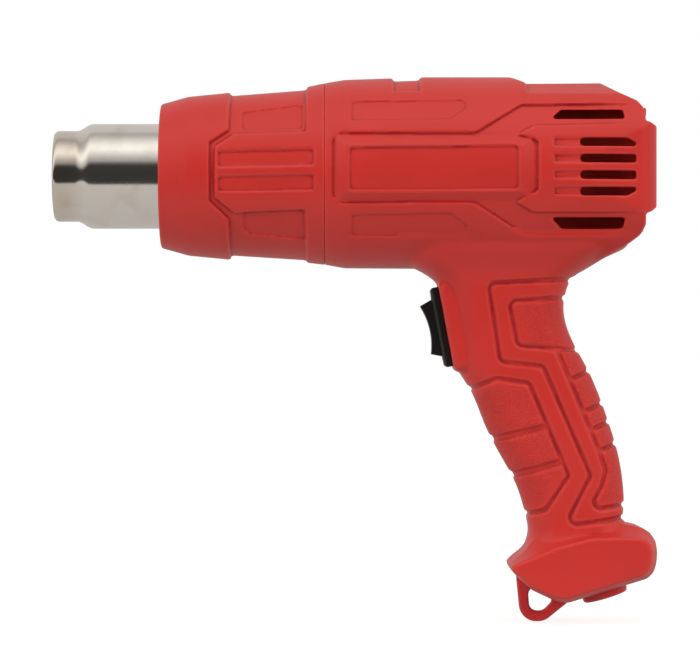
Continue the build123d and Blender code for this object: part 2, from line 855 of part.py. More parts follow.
def housing_right(shell):
    """Half with the screw heads."""
    places = [side_point(col, row) for col, row in screw_points_px]
    bosses = joined([pin_y(x, z, 0, overrun, right_boss_d) for x, z in places])
    body = shell + (bosses & boss_room())
    for x, z in places:
        body -= pin_y(x, z, -gap, head_seat_y, shank_hole_d)
        body -= pin_y(x, z, head_seat_y, overrun, counterbore_d)
    return body


def housing_left(shell):
    """Half that the screws bite into, with the clamp's posts and the parts' pockets."""
    places = [side_point(col, row) for col, row in screw_points_px]
    bosses = [pin_y(x, z, -overrun, 0, left_boss_d) for x, z in places]
    bosses += [pin_y(x, z, -overrun, clamp_y, clamp_post_d) for x, z in clamp_places()]
    for point, size in ((capacitor_point_px, capacitor_size), (terminal_point_px, terminal_size)):
        pocket = component_box(point, (size[0], 2 * overrun, size[2]), holder_wall)
        below = block((0, -overrun, -tool_height), (rear_x, -size[1] / 3, 0))
        bosses.append((pocket & below) - component_box(point, size))
    body = mirror(shell, about=Plane.XZ) + (joined(bosses) & boss_room())
    for x, z in places:
        body -= pin_y(x, z, -pilot_depth, gap, pilot_d)
    for x, z in clamp_places():
        body -= pin_y(x, z, clamp_y - clamp_screw_length, clamp_y + gap, pilot_d)
    return body


def housing_screw(x, z):
    """Housing screw with a round drive recess."""
    foot_y = head_seat_y - screw_shank_length
    solid = pin_y(x, z, foot_y, head_seat_y, screw_shank_d)
    solid += pin_y(x, z, head_seat_y, head_seat_y + screw_head_height, screw_head_d)
    top = head_seat_y + screw_head_height
    return solid - pin_y(x, z, top - screw_drive_depth, top, screw_drive_d)


def front_sleeve():
    """Sleeve round the nozzle, with its relief and the tongue that the halves hold."""
    depth = collar_d / 2
    body = relieve(sleeve_body(), side_prism(sleeve_low_px, depth), sleeve_low_body())
    windows = side_prism(window_px, depth * 3 / 4, outline_corner_r)
    windows += side_prism(lower_window_px, depth * 3 / 4, outline_corner_r)
    body = relieve(body, windows, sleeve_low_body(window_depth))
    slots = side_prism(sleeve_slot_px, depth, outline_corner_r)
    slots += side_prism(lower_sleeve_slot_px, depth, outline_corner_r)
    body = relieve(body, slots, sleeve_body(slot_depth))
    face_x = ahead(face_col_px)
    inner_x = face_x + sleeve_front_wall
    hollow = sleeve_body(sleeve_wall) & sleeve_low_body(sleeve_wall)
    hollow &= tube_x(inner_x, seam_x - tongue_root - inner_x, barrel_d)
    body -= hollow
    bore_d = tongue_d - 2 * tongue_wall
    body -= tube_x(seam_x - tongue_root, tongue_root, bore_d)
    catch_x = seam_x + rim_thickness
    body += tube_x(seam_x, catch_x + catch_wall - seam_x, tongue_d, bore_d)
    body += tube_x(catch_x, catch_wall, catch_d, bore_d)
    rib_length = seam_x - tongue_root - inner_x - sleeve_rib_end
    rib_face = Pos(0, (tube_d + tongue_d) / 4) * Rectangle(sleeve_rib_wall, (tongue_d - tube_d) / 2)
    start = Plane(origin=(inner_x, 0, 0), x_dir=(0, 1, 0), z_dir=(1, 0, 0))
    rib = extrude(start * rib_face, amount=rib_length)
    ribs = [rib.rotate(Axis.X, 360 / sleeve_rib_count * k) for k in range(sleeve_rib_count)]
    body += joined(ribs) & sleeve_low_body(sleeve_wall / 2) & sleeve_body(sleeve_wall / 2)
    return body - tube_x(face_x, seam_x - face_x, tube_d + 2 * nozzle_air_gap)


# Nozzle and heater

def nozzle_skin(inset):
    """Mouth, spigot and flare of the nozzle as lines in the XZ plane, drawn in by inset."""
    half = spigot_length / 2
    r = spigot_d / 2 - inset
    tube_r = tube_d / 2 - inset
    turn = mouth_lip - inset
    diagonal = turn * math.sqrt(1 / 2)
    flare_x = half + flare_length
    mouth = ThreePointArc(
        (-half - turn, r - turn), (-half - diagonal, r - turn + diagonal), (-half, r)
    )
    band = Line((-half, r), (half, r))
    middle = (half + flare_length / 2, (r + tube_r) / 2)
    flare = Spline((half, r), middle, (flare_x, tube_r), tangents=[(1, 0), (1, 0)])
    return mouth + band + flare


def nozzle():
    """Drawn steel nozzle: turned-in mouth, spigot, flare, tube and rear flange."""
    half = spigot_length / 2
    mouth_r = spigot_d / 2 - mouth_lip
    tube_r = tube_d / 2
    flare_x = half + flare_length
    back_x = nozzle_flange_x + sheet
    edge = Line((-half - mouth_lip, mouth_r), (-half - mouth_lip + sheet, mouth_r))
    tube = Polyline(
        (flare_x, tube_r),
        (nozzle_flange_x, tube_r),
        (nozzle_flange_x, nozzle_flange_d / 2),
        (back_x, nozzle_flange_d / 2),
        (back_x, tube_r - sheet),
        (flare_x, tube_r - sheet),
    )
    profile = make_face(nozzle_skin(0) + nozzle_skin(sheet) + edge + tube)
    return revolve(Plane.XZ * profile, Axis.X)


def mica_sleeve():
    """Mica lining of the tube, up to the heater base."""
    return tube_x(mica_sleeve_x, heater_base_x - mica_sleeve_x, mica_sleeve_d, mica_bore_d)


def seat_ring():
    """Gasket between the nozzle's flange and the heater base."""
    return tube_x(seat_ring_x, seat_ring_thickness, nozzle_flange_d, mica_sleeve_d)


def outlet_guard():
    """Ring with blades that keeps things out of the nozzle."""
    outer_d = spigot_d - 2 * sheet
    solid = tube_x(guard_x, guard_length, outer_d, outer_d - 2 * guard_wall)
    solid += tube_x(guard_x, guard_length, guard_core_d, guard_core_d - 2 * guard_wall)
    length = (outer_d - guard_core_d) / 2
    blade = Pos(guard_x + guard_length / 2, 0, (outer_d + guard_core_d) / 4 - guard_wall / 2)
    blade = blade * Box(guard_length, guard_wall, length)
    return solid + joined([blade.rotate(Axis.X, 360 / guard_blades * k) for k in range(guard_blades)])


def heater_boards():
    """Two mica boards, each slotted to half its length so that they cross."""
    length = heater_base_x + board_tab - boards_x
    middle = boards_x + length / 2
    upright = Pos(middle, 0, 0) * Box(length, board_wall, boards_d)
    level = Pos(middle, 0, 0) * Box(length, boards_d, board_wall)
    front_slot = Pos(middle - length / 4, 0, 0) * Box(length / 2, board_wall, board_wall)
    rear_slot = Pos(middle + length / 4, 0, 0) * Box(length / 2, board_wall, board_wall)
    return upright - front_slot, level - rear_slot


def coil_point(radius):
    """Where a wire along X passes, as (y, z)."""
    angle = math.radians(coil_angle)
    return radius * math.sin(angle), -radius * math.cos(angle)


def unit(pair):
    """Unit vector along a pair."""
    size = math.hypot(*pair)
    return pair[0] / size, pair[1] / size


def heating_coil():
    """One winding round the boards, with its two ends led back to the base."""
    radius = boards_d / 2 + coil_wire_d / 2 + slip
    length = coil_pitch * coil_turns
    start = Plane(origin=(coil_x, 0, 0), x_dir=(0, *unit(coil_point(radius))), z_dir=(1, 0, 0))
    path = Helix(pitch=coil_pitch, height=length, radius=radius)
    section = Plane(origin=path @ 0, z_dir=path % 0) * Circle(coil_wire_d / 2)
    solid = start * sweep(section, path=path, is_frenet=True)
    outer = coil_point(radius)
    inner = coil_point(coil_return_r)
    reach = radius - coil_return_r
    spoke = Plane(origin=(coil_x, *inner), z_dir=(0, *unit(outer)))
    solid += extrude(spoke * Circle(coil_wire_d / 2), amount=reach)
    solid += pin_x(coil_x, heater_base_x - coil_x, *inner, coil_wire_d)
    solid += pin_x(coil_x + length, heater_base_x - coil_x - length, *outer, coil_wire_d)
    for x, place in ((coil_x, inner), (coil_x, outer), (coil_x + length, outer)):
        solid += Pos(x, *place) * Sphere(coil_wire_d / 2)
    return solid


def rivet_places():
    """Places of the two rivets that end the winding, as (y, z)."""
    radius = boards_d / 2 + coil_wire_d / 2 + slip
    return [coil_point(radius), coil_point(coil_return_r)]


def heater_base():
    """Ceramic disc behind the nozzle with four air windows, slots for the boards and rivet holes."""
    disc = tube_x(heater_base_x, heater_base_thickness, heater_base_d)
    for quarter in range(4):
        angle = math.radians(heater_window_angle + 90 * quarter)
        y = heater_window_pcd / 2 * math.cos(angle)
        z = heater_window_pcd / 2 * math.sin(angle)
        disc -= pin_x(heater_base_x, heater_base_thickness, y, z, heater_window_d)
    for board in heater_boards():
        disc -= board
    for y, z in rivet_places():
        disc -= pin_x(heater_base_x, heater_base_thickness, y, z, rivet_d)
    return disc


def heater_rivet(y, z):
    """Rivet through the base, with a head for a lead behind it."""
    solid = pin_x(heater_base_x, heater_base_thickness, y, z, rivet_d)
    back_x = heater_base_x + heater_base_thickness
    return solid + pin_x(back_x, rivet_head_height, y, z, rivet_head_d)


def thermostat():
    """Round thermal cut-out on the back of the base."""
    back_x = heater_base_x + heater_base_thickness
    body = pin_x(back_x, thermostat_height, 0, thermostat_rise, thermostat_d)
    return fillet(body.faces().sort_by(Axis.X)[-1].edges(), slip * 5)


# Fan and motor

def fan_duct():
    """Tube round the fan with a cup for the motor on curved-flow vanes."""
    solid = tube_x(duct_x, duct_length, duct_d, duct_bore_d)
    solid += tube_x(duct_x, motor_cup_length, motor_cup_d, motor_d)
    vane_height = (duct_bore_d - motor_cup_d) / 2
    middle = duct_x + motor_cup_length / 2
    vane = Pos(middle, 0, (duct_bore_d + motor_cup_d) / 4)
    vane = vane * Box(motor_cup_length, vane_wall, vane_height + vane_wall / 2)
    return solid + joined([vane.rotate(Axis.X, 360 / vane_count * k) for k in range(vane_count)])


def motor_can():
    """Steel can, open in front, with a hole for the rear bush."""
    solid = tube_x(motor_x, motor_length, motor_d, motor_d - 2 * motor_can_wall)
    back_x = motor_x + motor_length - motor_can_wall
    return solid + tube_x(back_x, motor_can_wall, motor_d, bush_d)


def motor_cap():
    """Moulded front cap with a seat for the front bush."""
    return tube_x(motor_x, motor_cap_thickness, motor_d - 2 * motor_can_wall, bush_d)


def motor_bush(x):
    """Sintered bearing bush."""
    return tube_x(x, bush_length, bush_d, shaft_d + 2 * bush_clearance)


def motor_magnet(way):
    """One of the two arc magnets."""
    outer_d = motor_d - 2 * motor_can_wall
    x = motor_x + (motor_length - magnet_length) / 2
    ring = tube_x(x, magnet_length, outer_d, outer_d - 2 * magnet_wall)
    low = (x, magnet_gap_half if way > 0 else -overrun, -overrun)
    high = (x + magnet_length, overrun if way > 0 else -magnet_gap_half, overrun)
    return ring & block(low, high)


def motor_shaft():
    """Shaft from the front bush to the fan."""
    return tube_x(motor_x, fan_x + fan_depth - motor_x, shaft_d)


def armature():
    """Slotted core on the shaft."""
    x = motor_x + (motor_length - armature_length) / 2
    solid = tube_x(x, armature_length, armature_d, shaft_d)
    slot = Pos(x + armature_length / 2, 0, armature_d / 2 - armature_slot_depth / 2)
    slot = slot * Box(armature_length, armature_slot_width, armature_slot_depth)
    return solid - joined([slot.rotate(Axis.X, 360 / armature_slots * k) for k in range(armature_slots)])


def commutator():
    """Copper ring ahead of the core."""
    x = motor_x + (motor_length - armature_length) / 2 - commutator_length
    return tube_x(x, commutator_length, commutator_d, shaft_d)


def fan():
    """Axial fan: a hub with a web and pitched blades."""
    hub = tube_x(fan_x, fan_depth, fan_hub_d, fan_hub_d - 2 * fan_hub_wall)
    hub += tube_x(fan_x + fan_depth - fan_hub_wall, fan_hub_wall, fan_hub_d, shaft_d)
    hub += tube_x(fan_x, fan_depth, fan_collar_d, shaft_d)
    span = (fan_d - fan_hub_d) / 2 + fan_hub_wall
    blade = Box(fan_blade_chord, fan_blade_wall, span).rotate(Axis.Z, fan_blade_pitch)
    blade = Pos(fan_x + fan_depth / 2, 0, (fan_d + fan_hub_d) / 4) * blade
    blades = joined([blade.rotate(Axis.X, 360 / fan_blade_count * k) for k in range(fan_blade_count)])
    swept = tube_x(fan_x, fan_depth, fan_d, fan_hub_d - fan_hub_wall)
    return hub + (blades & swept)


def circuit_board():
    """Round rectifier board ahead of the motor."""
    x = motor_x - circuit_board_gap - circuit_board_thickness
    return tube_x(x, circuit_board_thickness, circuit_board_d)


def rectifier_diode(k):
    """Diode standing on the board."""
    angle = math.radians(360 / diode_count * (k + 1 / 2))
    x = motor_x - circuit_board_gap - circuit_board_thickness - diode_length
    y = diode_pcd / 2 * math.cos(angle)
    z = diode_pcd / 2 * math.sin(angle)
    return pin_x(x, diode_length, y, z, diode_d)


def motor_tabs():
    """Two blades that carry the board on the motor."""
    width, thickness = motor_tab
    x = motor_x - circuit_board_gap / 2
    tabs = []
    for way in (1, -1):
        tabs.append(Pos(x, way * motor_tab_offset, 0) * Box(circuit_board_gap, thickness, width))
    return tabs


# Switch

def switch_housing():
    """Switch body with its bezel, rocker well and pin holes."""
    body = Pos(0, 0, -switch_body_depth / 2) * Box(
        switch_body_length, switch_body_width, switch_body_depth
    )
    bezel = Pos(0, 0, bezel_thickness / 2) * Box(bezel_length, bezel_width, bezel_thickness)
    bezel = chamfer(bezel.faces().sort_by(Axis.Z)[-1].edges(), bezel_bevel)
    well_height = rocker_well_depth + bezel_thickness
    well = Pos(0, 0, bezel_thickness - well_height / 2) * Box(
        rocker_well_length, rocker_well_width, well_height
    )
    hole_d = rocker_pin_d + 2 * rocker_pin_clearance
    solid = body + bezel - well - pin_y(0, rocker_pivot_rise, -switch_body_width, switch_body_width, hole_d)
    return seat_plane() * solid


def rocker():
    """Two-way rocker with a dished face and its pins."""
    top = [(rocker_length * along, rocker_height * up) for along, up in rocker_face_shares]
    skirt = [(rocker_length * along, rocker_height * up) for along, up in rocker_skirt_shares]
    face = ThreePointArc(*top)
    sides = Polyline(top[-1], *skirt, top[0])
    profile = Plane.XZ * make_face(face + sides)
    solid = extrude(profile, amount=rocker_width / 2, both=True)
    solid = fillet(solid.edges().filter_by(Axis.Y).group_by(Axis.Z)[-1], rocker_edge_r)
    solid += pin_y(0, rocker_pivot_rise, -switch_body_width / 2, switch_body_width / 2, rocker_pin_d)
    return seat_plane() * solid


def switch_blade(offset_along):
    """Blade terminal on the back of the switch."""
    blade = Box(blade_thickness, blade_width, blade_length)
    return seat_plane() * Pos(offset_along, 0, -switch_body_depth - blade_length / 2) * blade


def blade_tip(offset_along):
    """Free end of a blade terminal."""
    point = seat_plane().from_local_coords((offset_along, 0, -switch_body_depth - blade_length))
    return point.X, point.Z


# Grip parts and leads

def capacitor():
    """Moulded interference capacitor."""
    box = component_box(capacitor_point_px, capacitor_size)
    return fillet(box.edges().filter_by(Axis.Z), slip * 10)


def terminal_block():
    """Two-way terminal block."""
    x, z = side_point(*terminal_point_px)
    solid = component_box(terminal_point_px, terminal_size)
    for way in (1, -1):
        y = way * terminal_way_offset
        solid -= Pos(x, y, z) * Cylinder(terminal_way_d / 2, terminal_size[2])
    return solid


def lead(points):
    """Insulated lead: straight runs joined by arcs."""
    path = FilletPolyline(*points, radius=lead_bend_r)
    section = Plane(origin=path @ 0, z_dir=path % 0) * Circle(lead_d / 2)
    return sweep(section, path=path)


def along(route_px, y):
    """Picture points as places at one distance from the middle plane."""
    places = []
    for col, row in route_px:
        x, z = side_point(col, row)
        places.append((x, y, z))
    return places


def blade_end(k, x, y):
    """Last two points of a lead that meets blade k squarely, coming from x."""
    x_tip, z_tip = blade_tip(blade_offsets[k])
    inward = seat_plane().z_dir * -1
    return [(x, y, z_tip + (x - x_tip) * inward.Z / inward.X), (x_tip, y, z_tip)]


def heater_lead(k):
    """Lead from a rivet, down ahead of the fan and back to the switch."""
    y_start, z_start = rivet_places()[k]
    x_start = heater_base_x + heater_base_thickness + rivet_head_height
    y = lead_pitch * (3 / 2 - 3 * k)
    stub = [(x_start, y_start, z_start), (x_start + lead_stub, y_start, z_start)]
    run = along(heater_route_px[k] + [drop_point_px], y)
    return lead(stub + run + blade_end(3 - k, run[-1][0], y))


def motor_lead(k):
    """Lead from the edge of the board, back to the switch or the capacitor."""
    y = lead_pitch * (1 / 2 - k)
    run = along(motor_route_px + [drop_point_px], y)
    start = (run[0][0], y, -circuit_board_d / 2)
    if k == 0:
        return lead([start] + run + blade_end(1, run[-1][0], y))
    x, z = side_point(*capacitor_point_px)
    end = (x, y, z + capacitor_size[2] / 2)
    return lead([start] + run + along(capacitor_route_px, y) + [end])


def supply_lead(k):
    """Lead from the terminal block to the switch or the capacitor."""
    way = 1 - 2 * k
    x, z = side_point(*terminal_point_px)
    y_way = way * terminal_way_offset
    route = along(supply_route_px[:1], y_way) + along(supply_route_px[1:], way * supply_y)
    start = (x, y_way, z + terminal_size[2] / 4)
    if k == 0:
        return lead([start] + route + blade_end(0, route[-1][0], supply_y))
    x_end = side_point(*capacitor_point_px)[0] + capacitor_size[0] / 2
    turn = along([supply_turn_px], way * supply_y)
    return lead([start] + route + turn + [(x_end, turn[0][1], turn[0][2])])


# Foot parts

def cord_inlet_bush():
    """Grommet in the foot: flange outside, collar inside and a bore for a cord."""
    neck = foot_wall
    solid = Pos(0, 0, inlet_flange_reach / 2) * Cylinder(inlet_flange_d / 2, inlet_flange_reach)
    solid = fillet(solid.edges().sort_by(Axis.Z)[-1], inlet_rim_r)
    solid += Pos(0, 0, -neck / 2) * Cylinder(inlet_neck_d / 2, neck)
    solid += Pos(0, 0, -neck - inlet_collar_thickness / 2) * Cylinder(
        inlet_collar_d / 2, inlet_collar_thickness
    )
    length = inlet_flange_reach + neck + inlet_collar_thickness
    bore = Pos(0, 0, inlet_flange_reach - length / 2) * Cylinder(inlet_bore_d / 2, length)
    return inlet_plane() * (solid - bore)


def cord_clamp():
    """Bar across the posts with a saddle for a cord."""
    plane = inlet_plane()
    bar = Pos(0, -clamp_y - clamp_thickness / 2, -clamp_rise) * Box(
        clamp_length, clamp_thickness, clamp_width
    )
    bar -= Pos(0, 0, -clamp_rise) * Cylinder(clamp_saddle_d / 2, clamp_width)
    solid = plane * bar
    for x, z in clamp_places():
        solid -= pin_y(x, z, clamp_y, clamp_y + clamp_thickness, screw_shank_d)
    return solid


def clamp_screw(x, z):
    """Screw of the cord clamp."""
    top = clamp_y + clamp_thickness
    solid = pin_y(x, z, clamp_y + clamp_thickness - clamp_screw_length, top, screw_shank_d)
    solid += pin_y(x, z, top, top + screw_head_height, clamp_screw_head_d)
    top += screw_head_height
    return solid - pin_y(x, z, top - screw_drive_depth, top, screw_drive_d)


def hanging_eye():
    """Eye held in the foot by a screw boss."""
    solid = eye_solid()
    solid -= side_prism(eye_inner_px, corner_r=eye_inner_r)
    solid = fillet(solid.faces().filter_by(Axis.Y).edges(), eye_edge_r)
    x, z = side_point(*screw_points_px[6])
    return solid - pin_y(x, z, -eye_thickness, eye_thickness, right_boss_d + 2 * gap)


def main():
    """Build every piece and write it."""
    places = [side_point(col, row) for col, row in screw_points_px]
    shell = half_shell()
    upright, level = heater_boards()
    pieces = {
        "housing_left": housing_left(shell),
        "housing_right": housing_right(shell),
        "front_sleeve": front_sleeve(),
        "nozzle": nozzle(),
        "outlet_guard": outlet_guard(),
        "mica_sleeve": mica_sleeve(),
        "seat_ring": seat_ring(),
        "heater_board_upright": upright,
        "heater_board_level": level,
        "heating_coil": heating_coil(),
        "heater_base": heater_base(),
        "thermostat": thermostat(),
        "fan_duct": fan_duct(),
        "motor_can": motor_can(),
        "motor_cap": motor_cap(),
        "motor_bush_front": motor_bush(motor_x),
        "motor_bush_rear": motor_bush(motor_x + motor_length - motor_can_wall),
        "motor_magnet_left": motor_magnet(-1),
        "motor_magnet_right": motor_magnet(1),
        "motor_shaft": motor_shaft(),
        "armature": armature(),
        "commutator": commutator(),
        "fan": fan(),
        "circuit_board": circuit_board(),
        "switch_housing": switch_housing(),
        "rocker": rocker(),
        "capacitor": capacitor(),
        "terminal_block": terminal_block(),
        "cord_inlet_bush": cord_inlet_bush(),
        "cord_clamp": cord_clamp(),
        "hanging_eye": hanging_eye(),
    }
    for k, (y, z) in enumerate(rivet_places()):
        pieces[f"heater_rivet_{k + 1}"] = heater_rivet(y, z)
    for k in range(diode_count):
        pieces[f"diode_{k + 1}"] = rectifier_diode(k)
    for k, tab in enumerate(motor_tabs()):
        pieces[f"motor_tab_{k + 1}"] = tab
    for k, offset_along in enumerate(blade_offsets):
        pieces[f"switch_blade_{k + 1}"] = switch_blade(offset_along)
    for k in range(2):
        pieces[f"heater_lead_{k + 1}"] = heater_lead(k)
        pieces[f"motor_lead_{k + 1}"] = motor_lead(k)
        pieces[f"supply_lead_{k + 1}"] = supply_lead(k)
    for k, (x, z) in enumerate(clamp_places()):
        pieces[f"clamp_screw_{k + 1}"] = clamp_screw(x, z)
    for k, (x, z) in enumerate(places):
        pieces[f"housing_screw_{k + 1}"] = housing_screw(x, z)
    for name, solid in pieces.items():
        export_step(solid, f"parts/{name}.step")
        print(f"{name}: {solid.volume:.1f} mm3")


main()
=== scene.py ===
"""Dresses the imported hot-air tool: soft red mouldings, a drawn steel nozzle and a black rocker.

The nozzle points along -X, +Z is up, and everything is in metres. Outlines of the side view are
points (column, row) of the 700 x 664 picture.
"""

import json
import logging
import math
from dataclasses import dataclass, field
from enum import Enum

import bmesh
import bpy
import numpy as np
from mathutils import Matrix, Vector

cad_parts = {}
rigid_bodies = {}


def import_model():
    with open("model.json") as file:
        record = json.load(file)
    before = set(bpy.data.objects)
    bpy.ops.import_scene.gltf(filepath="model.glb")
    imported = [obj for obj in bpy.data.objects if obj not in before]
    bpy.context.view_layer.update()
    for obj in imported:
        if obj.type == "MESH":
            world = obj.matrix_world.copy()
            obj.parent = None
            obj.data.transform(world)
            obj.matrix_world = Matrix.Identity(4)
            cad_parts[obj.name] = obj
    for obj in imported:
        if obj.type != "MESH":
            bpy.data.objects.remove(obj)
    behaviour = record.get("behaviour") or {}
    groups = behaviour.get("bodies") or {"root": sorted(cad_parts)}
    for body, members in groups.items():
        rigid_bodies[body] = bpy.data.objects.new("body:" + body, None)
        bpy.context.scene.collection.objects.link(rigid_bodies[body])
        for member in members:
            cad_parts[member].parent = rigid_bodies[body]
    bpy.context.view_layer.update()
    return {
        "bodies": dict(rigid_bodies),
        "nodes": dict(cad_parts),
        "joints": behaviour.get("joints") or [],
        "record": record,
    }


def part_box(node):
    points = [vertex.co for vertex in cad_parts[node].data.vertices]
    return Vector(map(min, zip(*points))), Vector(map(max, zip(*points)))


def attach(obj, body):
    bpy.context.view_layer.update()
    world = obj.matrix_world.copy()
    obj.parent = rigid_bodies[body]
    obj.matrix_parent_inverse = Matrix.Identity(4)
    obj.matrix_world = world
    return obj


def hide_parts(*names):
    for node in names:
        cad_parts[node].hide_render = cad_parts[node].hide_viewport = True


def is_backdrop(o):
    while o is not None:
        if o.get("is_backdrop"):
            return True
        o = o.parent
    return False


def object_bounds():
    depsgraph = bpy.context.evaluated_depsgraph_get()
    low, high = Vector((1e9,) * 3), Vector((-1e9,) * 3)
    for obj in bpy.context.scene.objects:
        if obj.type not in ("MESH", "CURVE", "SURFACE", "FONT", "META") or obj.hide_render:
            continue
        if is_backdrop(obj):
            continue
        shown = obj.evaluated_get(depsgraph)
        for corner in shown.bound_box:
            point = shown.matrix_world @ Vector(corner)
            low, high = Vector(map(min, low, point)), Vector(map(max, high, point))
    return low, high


LOG = logging.getLogger("heat_tool")
MM = 0.001
SAME_POINT = 0.001 * MM
FULL_TURN = 2 * math.pi
Colour = tuple[float, float, float]
Place = tuple[float, float, float]
Points = tuple[tuple[float, float], ...]
Span = tuple[float, float]
Zones = list[tuple[list[bmesh.types.BMVert], int]]


class Part(Enum):
    """Material slots of the record that new pieces take their finish from."""

    SHELL = "housing"
    EYE = "eye_plastic"
    BUSH = "inlet_bush"
    NOZZLE = "nozzle_steel"
    SWITCH = "switch_black"
    ROCKER = "rocker_black"


@dataclass(frozen=True)
class PictureMap:
    """How a point of the side view becomes a place on the object."""

    pixel: float = 0.3802 * MM
    origin: tuple[float, float] = (69.1, 176.4)
    centre: tuple[float, float] = (350.0, 332.0)
    distance: float = 1.3
    width: int = 700

    def place(self, column: float, row: float, depth: float = 0.0) -> tuple[float, float]:
        """Finds what a point of the picture shows.

        Args:
            column: Column of the picture.
            row: Row of the picture.
            depth: How far the surface stands on the near side of the middle plane.

        Returns:
            The surface's x and z.
        """
        near = 1 - depth / self.distance
        x = (self.centre[0] - self.origin[0] + (column - self.centre[0]) * near) * self.pixel
        z = (self.origin[1] - self.centre[1] - (row - self.centre[1]) * near) * self.pixel
        return x, z


PICTURE = PictureMap()


# Node trees

class Tree:
    """A node tree with short calls for adding and joining nodes."""

    def __init__(self, tree: bpy.types.NodeTree) -> None:
        """Keeps the tree.

        Args:
            tree: Tree of a material, world or group.
        """
        self.tree = tree

    def add(self, kind: str, sockets: dict | None = None, **settings: object) -> bpy.types.Node:
        """Adds a node.

        Args:
            kind: Blender's name of the node's type.
            sockets: Values or outputs for its inputs, by name or index.
            settings: Values for its own properties.

        Returns:
            The new node.
        """
        node = self.tree.nodes.new(kind)
        for name, value in settings.items():
            setattr(node, name, value)
        for name, value in (sockets or {}).items():
            self.feed(node.inputs[name], value)
        return node

    def feed(self, socket: bpy.types.NodeSocket, value: object) -> None:
        """Links an output to an input, or sets the input's value.

        Args:
            socket: The input.
            value: An output, a number or a tuple.
        """
        if isinstance(value, bpy.types.NodeSocket):
            self.tree.links.new(value, socket)
        elif socket.type == "RGBA" and len(value) == 3:
            socket.default_value = (*value, 1.0)
        else:
            socket.default_value = value

    def sum(self, operation: str, *values: object) -> bpy.types.NodeSocket:
        """Adds a Math node.

        Args:
            operation: Blender's name of the operation.
            values: Numbers or outputs.

        Returns:
            The result's output.
        """
        sockets = dict(enumerate(values))
        return self.add("ShaderNodeMath", sockets, operation=operation).outputs[0]

    def blend(self, factor: object, first: object, second: object) -> bpy.types.NodeSocket:
        """Mixes two colours.

        Args:
            factor: Share of the second colour.
            first: Colour or output.
            second: Colour or output.

        Returns:
            The mixed colour's output.
        """
        sockets = {0: factor, 6: first, 7: second}
        return self.add("ShaderNodeMix", sockets, data_type="RGBA").outputs[2]

    def span(self, value: object, span: Span) -> bpy.types.NodeSocket:
        """Maps a span of a value to 0 to 1, smoothly and clamped.

        Args:
            value: Number or output.
            span: Where the result is 0, and where it is 1.

        Returns:
            The mapped value's output.
        """
        sockets = {0: value, 1: span[0], 2: span[1]}
        return self.add("ShaderNodeMapRange", sockets, interpolation_type="SMOOTHSTEP").outputs[0]

    def noise(self, place: object, rate: object, detail: float) -> bpy.types.Node:
        """Adds a noise.

        Args:
            place: Output with the place.
            rate: Cells a metre, as a number or an output.
            detail: How many times finer noise is added.

        Returns:
            The noise's node.
        """
        sockets = {"Vector": place, "Scale": rate, "Detail": detail}
        return self.add("ShaderNodeTexNoise", sockets)

    def bump(self, height: object, distance: float, under: object = None) -> bpy.types.NodeSocket:
        """Adds a bump.

        Args:
            height: Output with the height, from 0 to 1.
            distance: What a height of 1 stands for.
            under: Normal of a bump that this one lies on, if any.

        Returns:
            The bent normal's output.
        """
        sockets = {"Strength": 1.0, "Distance": distance, "Height": height}
        if under is not None:
            sockets["Normal"] = under
        return self.add("ShaderNodeBump", sockets).outputs[0]


class Group:
    """Shader node groups with named inputs and outputs, each built once."""

    made: dict[str, bpy.types.NodeTree] = {}

    @classmethod
    def open(cls, name: str, inputs: dict[str, float | None],
             outputs: tuple[str, ...]) -> tuple[Tree, bpy.types.Node, bpy.types.Node]:
        """Starts a group.

        Args:
            name: The group's name.
            inputs: Default of each input; None stands for a vector.
            outputs: Names of its outputs.

        Returns:
            The tree, its input node and its output node.
        """
        group = bpy.data.node_groups.new(name, "ShaderNodeTree")
        for key, value in inputs.items():
            kind = "NodeSocketVector" if value is None else "NodeSocketFloat"
            socket = group.interface.new_socket(name=key, in_out="INPUT", socket_type=kind)
            if value is not None:
                socket.default_value = value
        for key in outputs:
            group.interface.new_socket(name=key, in_out="OUTPUT", socket_type="NodeSocketFloat")
        cls.made[name] = group
        tree = Tree(group)
        return tree, tree.add("NodeGroupInput"), tree.add("NodeGroupOutput")

    @classmethod
    def use(cls, tree: Tree, name: str, sockets: dict | None = None) -> bpy.types.Node:
        """Places a group in a material.

        Args:
            tree: The material's tree.
            name: The group's name.
            sockets: Values or outputs for its inputs.

        Returns:
            The group's node.
        """
        return tree.add("ShaderNodeGroup", sockets, node_tree=cls.made[name])


